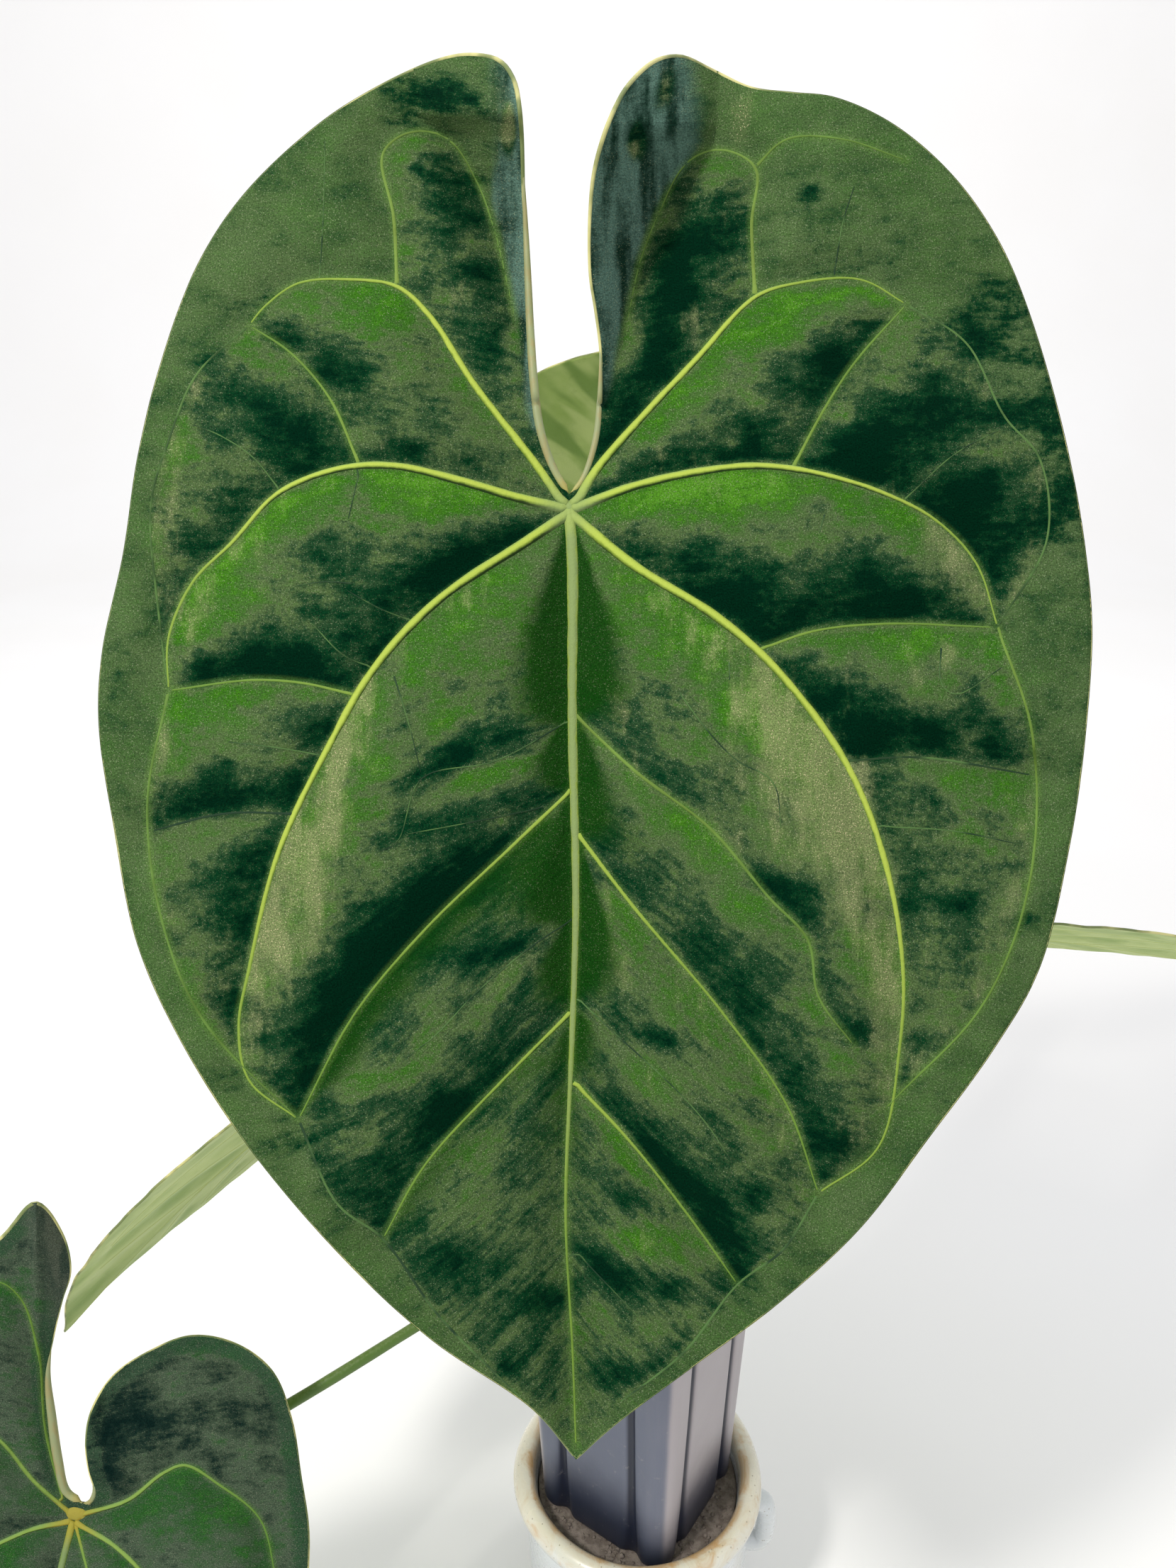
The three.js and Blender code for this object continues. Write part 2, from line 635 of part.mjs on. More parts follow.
const mirror = (line) => line.map(([u, w]) => [-u, w]).reverse();
const PLAIN_RIGHT = [
  [0, -272], [12, -262], [36, -245], [68, -219], [100, -184], [126, -144], [142, -90], [147, -36],
  [142, 12], [126, 62], [100, 100], [66, 121], [36, 126], [18, 112], [11, 84], [9, 50], [7, 22],
  [3, 8], [0, 3],
];
const PLAIN_VEIN_PAIRS = [
  vein(3, 1.2, [[1, -3], [18, -17], [42, -32], [60, -48], [79, -74], [91, -110], [93, -150], [80, -186]]),
  vein(3, 1.2, [[2, -1], [30, 8], [58, 11], [86, 4], [108, -14], [119, -44]]),
  vein(2.8, 1.2, [[3, 2], [21, 25], [40, 50], [60, 62], [85, 60], [104, 40]]),
  vein(1.6, 1, [[1, -85], [28, -115], [56, -150], [76, -188]]),
  vein(1.6, 1, [[1, -148], [22, -176], [50, -212]]),
];
const PLAIN_VEINS = [
  vein(3.4, 1, [[0, -1], [0, -60], [0, -130], [0, -200], [0, -266]]),
  ...PLAIN_VEIN_PAIRS,
  ...PLAIN_VEIN_PAIRS.map(({ from, to, path }) => vein(from, to, path.map(([u, w]) => [-u, w]))),
];

const plainStandOff = (droop, cup) => (u, w) => {
  const t = clamp01(-w / FRONT_LENGTH);
  const arch = w < 0 ? droop * Math.sin(Math.PI * t) : (-Math.PI * droop * w) / FRONT_LENGTH;
  return arch + cup * Math.sin((Math.PI * Math.min(150, Math.abs(u))) / 120);
};

const REAR_SCALE = 0.8;
const REAR_TWIST = -26;
const REAR_HUB = vec(13, 128, RIM_Z + 425.5);
const REAR_AXES = axes(vec(-0.938, -0.203, 0.28), vec(0, 0.8, 0.6));

const RIGHT_SCALE = 0.61;
const RIGHT_HUB = vec(84.6, 12.2, RIM_Z + 290);
const RIGHT_AXES = axes(vec(-0.993, 0.008, 0.12), vec(0.107, 0.513, 0.852));

const LEFT_SCALE = 0.63;
const LEFT_HUB = vec(-104, -0.6, RIM_Z + 246.6);
const LEFT_AXES = axes(vec(0.743, 0.352, 0.57), vec(-0.669, 0.413, 0.618));

// Low leaf at the left: the near lobes as they look, the rest after the plain drawing

const LOW_LEFT = [
  [3, 6], [-3, 10], [-6, 22], [-8, 38], [-9, 54], [-6, 70], [-3, 82], [0, 92], [-3, 106], [-12, 117],
  [-25, 104], [-48, 90], [-76, 62], [-97, 20], [-102, -25], [-92, -72], [-66, -118], [-31, -153],
];
const LOW_RIGHT = [
  [-31, -153], [5, -138], [42, -112], [68, -78], [82, -42], [86, -8], [83, 17], [80, 37], [73, 55],
  [60, 65], [44, 68], [28, 62], [15, 53], [7, 40], [5, 28], [6, 18], [8, 10], [6, 6], [3, 6],
];
const LOW_VEINS = [
  vein(2.6, 1, [[0, 0], [-5, -19], [-14, -60], [-22, -105], [-30, -148]]),
  vein(2.2, 1, [[4, 2], [20, 7], [33, 17], [41, 20], [53, 13], [68, 0], [74, -24]]),
  vein(2.2, 1, [[2, -2], [16, -11], [34, -32], [48, -62], [50, -95]]),
  vein(1.6, 1, [[1, -3], [6, -24], [14, -58], [20, -96]]),
  vein(2.2, 1, [[-2, -1], [-18, -5], [-46, -22], [-66, -56], [-70, -92]]),
  vein(2.2, 1, [[-2, 3], [-14, 14], [-26, 29], [-46, 44], [-68, 40], [-84, 14]]),
  vein(1.4, 1, [[-4, 8], [-10, 34], [-12, 62], [-18, 82], [-27, 88], [-46, 70]]),
];

function lowStandOff(u, w) {
  const raised = 34 * clamp01(w / 118) * clamp01((12 - u) / 24);
  const dip = w < 0 ? 10 * Math.sin(Math.PI * clamp01(-w / 155)) : -0.12 * w * clamp01(u / 20);
  return raised + dip + 4 * Math.sin((Math.PI * Math.min(100, Math.abs(u))) / 80);
}

const LOW_HUB = vec(-212.2, -112.8, RIM_Z + 114.2);
const LOW_AXES = axes(leaningBack(LOW_LEAN), vec(0, -1, 0));

const frontBlade = blade({
  left: FRONT_LEFT,
  right: FRONT_RIGHT,
  veins: FRONT_VEINS,
  pitch: 12.5,
  standOff: frontStandOff,
  place: placeSeen(FRONT_HUB, FRONT_AXES),
});
const rearBlade = blade({
  left: mirror(PLAIN_RIGHT),
  right: PLAIN_RIGHT,
  veins: PLAIN_VEINS,
  pitch: 21,
  scale: REAR_SCALE,
  slim: 0.96,
  bulge: SIDE_BULGE,
  standOff: plainStandOff(4, 2.6),
  place: placePlain(REAR_HUB, REAR_AXES, REAR_SCALE * FRONT_LENGTH, REAR_TWIST),
});
const rightBlade = blade({
  left: mirror(PLAIN_RIGHT),
  right: PLAIN_RIGHT,
  veins: PLAIN_VEINS,
  pitch: 20,
  scale: RIGHT_SCALE,
  bulge: SIDE_BULGE,
  standOff: plainStandOff(3.7, 1.4),
  place: placePlain(RIGHT_HUB, RIGHT_AXES, RIGHT_SCALE * FRONT_LENGTH),
});
const leftBlade = blade({
  left: mirror(PLAIN_RIGHT),
  right: PLAIN_RIGHT,
  veins: PLAIN_VEINS,
  pitch: 20,
  scale: LEFT_SCALE,
  bulge: SIDE_BULGE,
  standOff: plainStandOff(6.5, 1.8),
  place: placePlain(LEFT_HUB, LEFT_AXES, LEFT_SCALE * FRONT_LENGTH),
});
const lowBlade = blade({
  left: LOW_LEFT,
  right: LOW_RIGHT,
  veins: LOW_VEINS,
  pitch: 14,
  standOff: lowStandOff,
  place: placeSeen(LOW_HUB, LOW_AXES),
});

// Leaf stalks: from the stem to a short swollen knee under each hub

const stemCutter = solidOf(lathe(stemProfile(GAP), STEM_SIDES));

function leafStalk({ route, blade: leaf, hub, hubRib, radius }) {
  const { end, face } = underHub(leaf.sheet, hub[0], hub[1], hubRib);
  const points = [
    ...route,
    end.clone().addScaledVector(face, -4 * radius).add(vec(0, 0, -1.2 * radius)),
    end.clone().addScaledVector(face, -1.6 * radius),
    end,
  ];
  const radiusAt = (t) => {
    const sheath = SHEATH_SWELL * (1 - clamp01(t / SHEATH_SHARE));
    const knee = KNEE_SWELL * Math.sin(Math.PI * clamp01((t - KNEE_START) / KNEE_SHARE));
    return radius * (1 + sheath + knee);
  };
  return geometryOf(solidOf(stalk(points, radiusAt)).subtract(stemCutter));
}

const atStem = (angle, h) =>
  vec(5 * Math.cos(radians(angle)), 5 * Math.sin(radians(angle)), MIX_Z + h);

const frontStalk = leafStalk({
  route: [
    atStem(262, 22),
    vec(-3, -18, MIX_Z + 40),
    vec(-10, -34, RIM_Z + 250),
    vec(-20, -50, RIM_Z + 370),
    vec(-28, -52, RIM_Z + 440),
  ],
  blade: frontBlade,
  hub: [0, -4],
  hubRib: 1.7,
  radius: 2.9,
});
const rearStalk = leafStalk({
  route: [
    atStem(75, 24),
    vec(2, 18, MIX_Z + 44),
    vec(-6, 48, RIM_Z + 290),
    vec(-4, 88, RIM_Z + 384),
  ],
  blade: rearBlade,
  hub: [0, -4],
  hubRib: 1.5,
  radius: 2.8,
});
const rightStalk = leafStalk({
  route: [
    atStem(15, 16),
    vec(17, 5, MIX_Z + 32),
    vec(48, 6, RIM_Z + 210),
    vec(72, 6, RIM_Z + 252),
  ],
  blade: rightBlade,
  hub: [0, -3],
  hubRib: 1.5,
  radius: 2.2,
});
const leftStalk = leafStalk({
  route: [
    atStem(150, 12),
    vec(-18, 9, MIX_Z + 28),
    vec(-46, 12, RIM_Z + 200),
    vec(-78, 4, RIM_Z + 222),
  ],
  blade: leftBlade,
  hub: [0, -3],
  hubRib: 1.5,
  radius: 2.2,
});
const lowStalk = leafStalk({
  route: [
    atStem(205, 14),
    vec(-22, -13, MIX_Z + 27),
    vec(-52, -31, RIM_Z + 157),
    vec(-94.7, -55.1, RIM_Z + 144.8),
    vec(-139.6, -80.6, RIM_Z + 133),
    vec(-186, -96, RIM_Z + 114),
  ],
  blade: lowBlade,
  hub: [1, -1],
  hubRib: 1.3,
  radius: 2.2,
});

// Scene graph

const FINISH = {
  ceramic: { color: 0xd9d5c6, roughness: 0.35, metalness: 0 },
  grit: { color: 0x7d7468, roughness: 0.95, metalness: 0 },
  plastic: { color: 0x474c5c, roughness: 0.5, metalness: 0 },
  mix: { color: 0x3b2a1e, roughness: 1, metalness: 0 },
  stem: { color: 0x6f7a3c, roughness: 0.7, metalness: 0 },
  stalk: { color: 0x5f7f2c, roughness: 0.5, metalness: 0 },
  velvet: { color: 0x1f4a22, roughness: 0.7, metalness: 0 },
};

const group = new THREE.Group();

const add = (parent, name, geometry, finish) => {
  const mesh = new THREE.Mesh(geometry, new THREE.MeshStandardMaterial(FINISH[finish]));
  mesh.name = name;
  parent.add(mesh);
  return mesh;
};

const pots = new THREE.Group();
add(pots, 'cover_pot', coverPot(), 'ceramic');
add(pots, 'grit_bed', gritBed(), 'grit');

const planted = new THREE.Group();
planted.position.z = PLASTIC_Z;
planted.rotation.z = radians(PLASTIC_TURN);
add(planted, 'plastic_pot', plasticPot(), 'plastic');
add(planted, 'potting_mix', pottingMix(), 'mix');

const plant = new THREE.Group();
add(plant, 'stem', lathe(stemProfile(0), STEM_SIDES), 'stem');
add(plant, 'front_stalk', frontStalk, 'stalk');
add(plant, 'front_blade', frontBlade.geometry, 'velvet');
add(plant, 'low_stalk', lowStalk, 'stalk');
add(plant, 'low_blade', lowBlade.geometry, 'velvet');
add(plant, 'left_stalk', leftStalk, 'stalk');
add(plant, 'left_blade', leftBlade.geometry, 'velvet');
add(plant, 'right_stalk', rightStalk, 'stalk');
add(plant, 'right_blade', rightBlade.geometry, 'velvet');
add(plant, 'rear_stalk', rearStalk, 'stalk');
add(plant, 'rear_blade', rearBlade.geometry, 'velvet');

group.add(pots, planted, plant);

export default group;
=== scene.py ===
"""Dresses a potted velvet-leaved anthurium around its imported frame.

Shapes are worked out in millimetres, in the frame of the CAD model, and become metres as each mesh is written.
"""

import logging
import math
from dataclasses import dataclass, field, replace
from enum import Enum
from functools import cache
from typing import Callable, Protocol, Sequence

import bmesh
import bpy
import numpy as np
from mathutils import Matrix, Vector


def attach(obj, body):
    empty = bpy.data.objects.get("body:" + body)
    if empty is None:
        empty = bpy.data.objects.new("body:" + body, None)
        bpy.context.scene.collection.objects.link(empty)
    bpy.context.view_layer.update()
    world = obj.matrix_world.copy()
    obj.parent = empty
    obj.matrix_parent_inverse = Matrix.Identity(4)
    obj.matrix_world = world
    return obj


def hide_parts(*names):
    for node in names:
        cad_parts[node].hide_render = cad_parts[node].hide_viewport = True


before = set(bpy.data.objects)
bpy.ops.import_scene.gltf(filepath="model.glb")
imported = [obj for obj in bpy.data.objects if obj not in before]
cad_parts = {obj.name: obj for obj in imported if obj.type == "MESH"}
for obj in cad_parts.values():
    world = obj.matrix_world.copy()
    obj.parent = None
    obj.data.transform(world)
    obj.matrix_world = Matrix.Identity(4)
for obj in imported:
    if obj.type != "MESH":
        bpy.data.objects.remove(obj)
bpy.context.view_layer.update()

log = logging.getLogger("anthurium")

Array = np.ndarray
Material = bpy.types.Material
Mesh = bpy.types.Mesh
Piece = bpy.types.Object
Socket = bpy.types.NodeSocket
Colour = tuple[float, float, float]
Pair = tuple[float, float]
Triple = tuple[float, float, float]

MM = 0.001  # metres in a millimetre
WELD = 2e-6  # metres: points nearer than this become one
SLIVER = 1e-7  # metres: edges shorter than this go
DRAWING_UNIT = 100.0  # millimetres in one unit of the UV map
LAYER = 4.0  # spacing of the flat grids before they get their shape
SPAN_STEPS = 16  # steps of a smooth curve between two given points

RIM_Z = 95.0  # height of the cover pot
BED_Z = 83.0  # top of the grit
PLASTIC_Z = 83.3  # foot of the plastic pot
PLASTIC_TURN = -34.6  # degrees that the plastic pot is turned
MIX_Z = 223.3  # top of the potting mix
LEAF_LENGTH = 272.0  # hub to tip of a drawing at full size
LOBE_SHARE = 0.30  # share of a blade's margin that belongs to the rows beside the cleft
EYE: Triple = (-24.4, -411.0, 619.0)  # the camera
STUDIO_GAIN = 1.15  # how much brighter than its albedo the studio shows a surface


def seen(red: int, green: int, blue: int) -> Colour:
    """Give the albedo that the studio light shows as an 8-bit colour.

    Args:
        red: Red, 0 to 255.
        green: Green, 0 to 255.
        blue: Blue, 0 to 255.

    Returns:
        The linear colour.
    """
    levels = np.array([red, green, blue]) / 255.0
    linear = np.where(levels <= 0.04045, levels / 12.92, ((levels + 0.055) / 1.055) ** 2.4) / STUDIO_GAIN
    return float(linear[0]), float(linear[1]), float(linear[2])


# Curves, noise and frames


def unit(v: Array) -> Array:
    """Scale vectors to length one along the last axis."""
    return v / np.maximum(np.linalg.norm(v, axis=-1, keepdims=True), 1e-12)


def smoothstep(x: Array, low: float, high: float) -> Array:
    """Ease from 0 at low to 1 at high."""
    t = np.clip((x - low) / (high - low), 0.0, 1.0)
    return t * t * (3.0 - 2.0 * t)


def spaced(line: Array, count: int) -> Array:
    """Pick count points at equal steps along a polyline.

    Args:
        line: Points of the polyline.
        count: How many points to return, ends included.

    Returns:
        The points, count rows.
    """
    steps = np.linalg.norm(np.diff(line, axis=0), axis=1)
    along = np.concatenate([[0.0], np.cumsum(steps)])
    wanted = np.linspace(0.0, along[-1], count)
    return np.stack([np.interp(wanted, along, line[:, k]) for k in range(line.shape[1])], axis=1)


def smooth_line(points: Sequence[Sequence[float]], spacing: float) -> Array:
    """Run a centripetal Catmull-Rom curve through points.

    Args:
        points: Points that the curve passes, two or three numbers each.
        spacing: Distance between the points that come back.

    Returns:
        Points at equal steps along the curve.
    """
    p = np.asarray(points, float)
    padded = np.vstack([2 * p[0] - p[1], p, 2 * p[-1] - p[-2]])
    t = np.linspace(0.0, 1.0, SPAN_STEPS, endpoint=False)[:, None]
    runs = []
    for a, b, c, d in zip(padded, padded[1:], padded[2:], padded[3:]):
        k0, k1, k2 = (math.sqrt(max(np.linalg.norm(y - x), 1e-6)) for x, y in ((a, b), (b, c), (c, d)))
        m1 = ((b - a) / k0 - (c - a) / (k0 + k1) + (c - b) / k1) * k1
        m2 = ((c - b) / k1 - (d - b) / (k1 + k2) + (d - c) / k2) * k1
        runs.append(b + m1 * t + (3 * (c - b) - 2 * m1 - m2) * t**2 + (2 * (b - c) + m1 + m2) * t**3)
    line = np.vstack([*runs, p[-1:]])
    length = np.linalg.norm(np.diff(line, axis=0), axis=1).sum()
    return spaced(line, max(3, round(length / spacing) + 1))


def turned(x: Array, y: Array, angle: Array) -> tuple[Array, Array]:
    """Turn points of a plane about its origin by an angle in radians."""
    c, s = np.cos(angle), np.sin(angle)
    return x * c - y * s, x * s + y * c


@dataclass(frozen=True)
class Lattice:
    """Soft random field over the plane, the same on every run."""

    seed: int
    cell_u: float
    cell_w: float
    size: int = 96

    def at(self, u: Array, w: Array) -> Array:
        """Read the field between -1 and 1 at points of the plane.

        Args:
            u: Places across the plane.
            w: Places along the plane.

        Returns:
            One number for each point.
        """
        table = np.random.default_rng(self.seed).uniform(-1.0, 1.0, (self.size, self.size))
        x, y = u / self.cell_u, w / self.cell_w
        ix, iy = np.floor(x).astype(int), np.floor(y).astype(int)
        fx, fy = smoothstep(x - ix, 0.0, 1.0), smoothstep(y - iy, 0.0, 1.0)
        n = self.size
        low = table[iy % n, ix % n] * (1 - fx) + table[iy % n, (ix + 1) % n] * fx
        high = table[(iy + 1) % n, ix % n] * (1 - fx) + table[(iy + 1) % n, (ix + 1) % n] * fx
        return low * (1 - fy) + high * fy


def nearest_on(line: Array, u: Array, w: Array) -> tuple[Array, Array, Array]:
    """Find the nearest point of a polyline for many points.

    Args:
        line: Points of the polyline on the drawing.
        u: Places across.
        w: Places along.

    Returns:
        Distance, and the two parts of the unit vector from the line to each point.
    """
    start, step = line[:-1], np.diff(line, axis=0)
    squared = np.maximum((step**2).sum(axis=1), 1e-9)
    best = np.full(u.shape, np.inf)
    du, dw = np.zeros_like(u), np.zeros_like(u)
    for (su, sw), (tu, tw), sq in zip(start, step, squared):
        t = np.clip(((u - su) * tu + (w - sw) * tw) / sq, 0.0, 1.0)
        gu, gw = u - su - t * tu, w - sw - t * tw
        distance = np.hypot(gu, gw)
        closer = distance < best
        best = np.where(closer, distance, best)
        du, dw = np.where(closer, gu, du), np.where(closer, gw, dw)
    safe = np.maximum(best, 1e-6)
    return best, du / safe, dw / safe


# Meshes: every new shape starts as a grid, a spun profile or a ball, made by a bmesh operator


class Finish(Protocol):
    """Anything that builds a material."""

    def material(self) -> Material:
        """Build the material."""


@cache
def finished(finish: Finish) -> Material:
    """Build a finish the first time, and give the same material again after that."""
    return finish.material()


def new_object(mesh: Mesh, *finishes: Finish) -> Piece:
    """Put a mesh in the scene under its own name, with its finishes and smooth shading.

    Args:
        mesh: The mesh.
        *finishes: Its finishes, in the order of its material indices.

    Returns:
        The object.
    """
    piece = bpy.data.objects.new(mesh.name, mesh)
    bpy.context.scene.collection.objects.link(piece)
    for finish in finishes:
        mesh.materials.append(finished(finish))
    mesh.shade_smooth()
    return piece


def kept_mesh(name: str, bm: bmesh.types.BMesh) -> Mesh:
    """Write a finished bmesh to a new mesh and free it.

    Args:
        name: Name of the mesh.
        bm: The bmesh, which can't be used after this.

    Returns:
        The mesh.
    """
    mesh = bpy.data.meshes.new(name)
    bm.to_mesh(mesh)
    bm.free()
    return mesh


def keep_value(mesh: Mesh, name: str, values: Array) -> None:
    """Store one value for each point of a mesh."""
    mesh.attributes.new(name, "FLOAT", "POINT").data.foreach_set("value", values)


def declare(piece: Piece, nodes: Sequence[str] = ()) -> None:
    """Let a piece ride on the one body and the nodes that it stands for.

    Args:
        piece: Object to declare.
        nodes: Nodes that it replaces.
    """
    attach(piece, "root")
    if nodes:
        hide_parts(*nodes)
    log.info("%s: %d faces", piece.name, len(piece.data.polygons))


@dataclass
class Patch:
    """Rectangle of points that lies over a grid of faces, with values at its points."""

    points: Array
    values: dict[str, Array] = field(default_factory=dict)
    drawing: Array | None = None


def mesh_from_patches(name: str, patches: Sequence[Patch], closed: bool = True) -> Mesh:
    """Shape one bmesh grid per patch, and weld their shared edges.

    Args:
        name: Name of the mesh.
        patches: Patches whose points have the shape (rows, columns, 3), in millimetres.
        closed: True where the welded patches make closed shells, whose faces are then turned outwards.

    Returns:
        The mesh, in metres, with the patches' values as point attributes and a UV map named drawing.
    """
    bm = bmesh.new()
    for k, patch in enumerate(patches):
        rows, cols = patch.points.shape[:2]
        lifted = Matrix.Translation((0.0, 0.0, LAYER * k))
        bmesh.ops.create_grid(bm, x_segments=cols - 1, y_segments=rows - 1, size=1.0, matrix=lifted)
    mesh = kept_mesh(name, bm)
    flat = np.empty(len(mesh.vertices) * 3)
    mesh.vertices.foreach_get("co", flat)
    flat = flat.reshape(-1, 3)
    owner = np.rint(flat[:, 2] / LAYER).astype(int)
    places = np.empty_like(flat)
    drawing = np.zeros((len(flat), 2))
    values = {key: np.zeros(len(flat)) for key in patches[0].values}
    for k, patch in enumerate(patches):
        mine = owner == k
        rows, cols = patch.points.shape[:2]
        col = np.rint((flat[mine, 0] + 1.0) / 2.0 * (cols - 1)).astype(int)
        row = np.rint((flat[mine, 1] + 1.0) / 2.0 * (rows - 1)).astype(int)
        places[mine] = patch.points[row, col] * MM
        for key, value in patch.values.items():
            values[key][mine] = value[row, col]
        if patch.drawing is not None:
            drawing[mine] = patch.drawing[row, col] / DRAWING_UNIT
    mesh.vertices.foreach_set("co", places.ravel())
    for key, value in values.items():
        keep_value(mesh, key, value)
    corners = np.empty(len(mesh.loops), dtype=np.int32)
    mesh.loops.foreach_get("vertex_index", corners)
    mesh.uv_layers.new(name="drawing").data.foreach_set("uv", drawing[corners].ravel())
    bm = bmesh.new()
    bm.from_mesh(mesh)
    bmesh.ops.remove_doubles(bm, verts=bm.verts, dist=WELD)
    bmesh.ops.dissolve_degenerate(bm, edges=bm.edges, dist=SLIVER)
    if closed:
        bmesh.ops.recalc_face_normals(bm, faces=bm.faces)
    bm.to_mesh(mesh)
    bm.free()
    return mesh


def spun_mesh(name: str, profile: Array, steps: int, wobble: float = 0.0) -> Mesh:
    """Spin a profile round the Z axis.

    Args:
        name: Name of the mesh.
        profile: Radius and height of each point, from the lower pole to the upper one.
        steps: Number of steps in the full turn.
        wobble: How far the hand-made wall strays from true, in millimetres.

    Returns:
        The closed mesh, in metres.
    """
    bm = bmesh.new()
    chain = [bm.verts.new((r * MM, 0.0, z * MM)) for r, z in profile]
    edges = [bm.edges.new(pair) for pair in zip(chain, chain[1:])]
    bmesh.ops.spin(
        bm, geom=[*chain, *edges], cent=(0, 0, 0), axis=(0, 0, 1), angle=2 * math.pi, steps=steps, use_merge=True
    )
    bmesh.ops.remove_doubles(bm, verts=bm.verts, dist=WELD)
    bmesh.ops.recalc_face_normals(bm, faces=bm.faces)
    for vert in bm.verts if wobble else ():
        x, y, z = vert.co
        angle, reach = math.atan2(y, x), math.hypot(x, y)
        stray = math.sin(3 * angle + z * 40) + 0.6 * math.sin(5 * angle - z * 90)
        if reach > 20.0 * MM:
            vert.co.xy *= 1.0 + wobble * MM * stray / reach
    return kept_mesh(name, bm)


def section_frames(centres: Array, hint: Array | None = None) -> tuple[Array, Array]:
    """Find side and upward unit vectors along a curve.

    Args:
        centres: Points along the curve.
        hint: Upward direction at each point, or nothing to carry one frame along without twist.

    Returns:
        Side vectors and upward vectors.
    """
    tangent = unit(np.gradient(centres, axis=0))
    if hint is not None:
        side = unit(np.cross(tangent, hint))
        return side, np.cross(side, tangent)
    side = np.empty_like(centres)
    side[0] = unit(np.cross(tangent[0], [0.3, 1.0, 0.2]))
    for i in range(1, len(centres)):
        side[i] = unit(side[i - 1] - tangent[i] * side[i - 1].dot(tangent[i]))
    return side, np.cross(side, tangent)


def tube_patch(
    centres: Array,
    half_width: Array,
    half_height: Array,
    sides: int,
    hint: Array | None = None,
    values: dict[str, Array] | None = None,
) -> Patch:
    """Wrap a patch round a curve, with both ends closed to a point.

    Args:
        centres: Points along the middle of the tube.
        half_width: Half of the width at each point.
        half_height: Half of the height at each point.
        sides: Number of faces round the section.
        hint: Upward direction at each point.
        values: Further values at each point along the tube.

    Returns:
        The patch, with the values crest (1 on the upper ridge) and along (0 to 1).
    """
    side, up = section_frames(centres, hint)
    angle = np.linspace(0.0, 2 * math.pi, sides + 1)
    c, s = np.cos(angle), np.sin(angle)
    c[-1], s[-1] = c[0], s[0]
    points = (
        centres[:, None, :]
        + side[:, None, :] * (half_width[:, None] * c)[..., None]
        + up[:, None, :] * (half_height[:, None] * s)[..., None]
    )
    points[0], points[-1] = centres[0], centres[-1]
    made = {"crest": np.tile(s, (len(centres), 1))}
    for key, value in {"along": np.linspace(0.0, 1.0, len(centres)), **(values or {})}.items():
        made[key] = value[:, None] * np.ones(sides + 1)
    return Patch(points, made)


def round_ends(count: int, reach: int) -> Array:
    """Give a factor along a tube that rounds off its first and last few sections."""
    place = np.minimum(np.arange(count), np.arange(count)[::-1]) / max(1, reach)
    return np.sqrt(np.clip(1.0 - (1.0 - np.clip(place, 0.0, 1.0)) ** 2, 0.0, 1.0))


# Node graphs


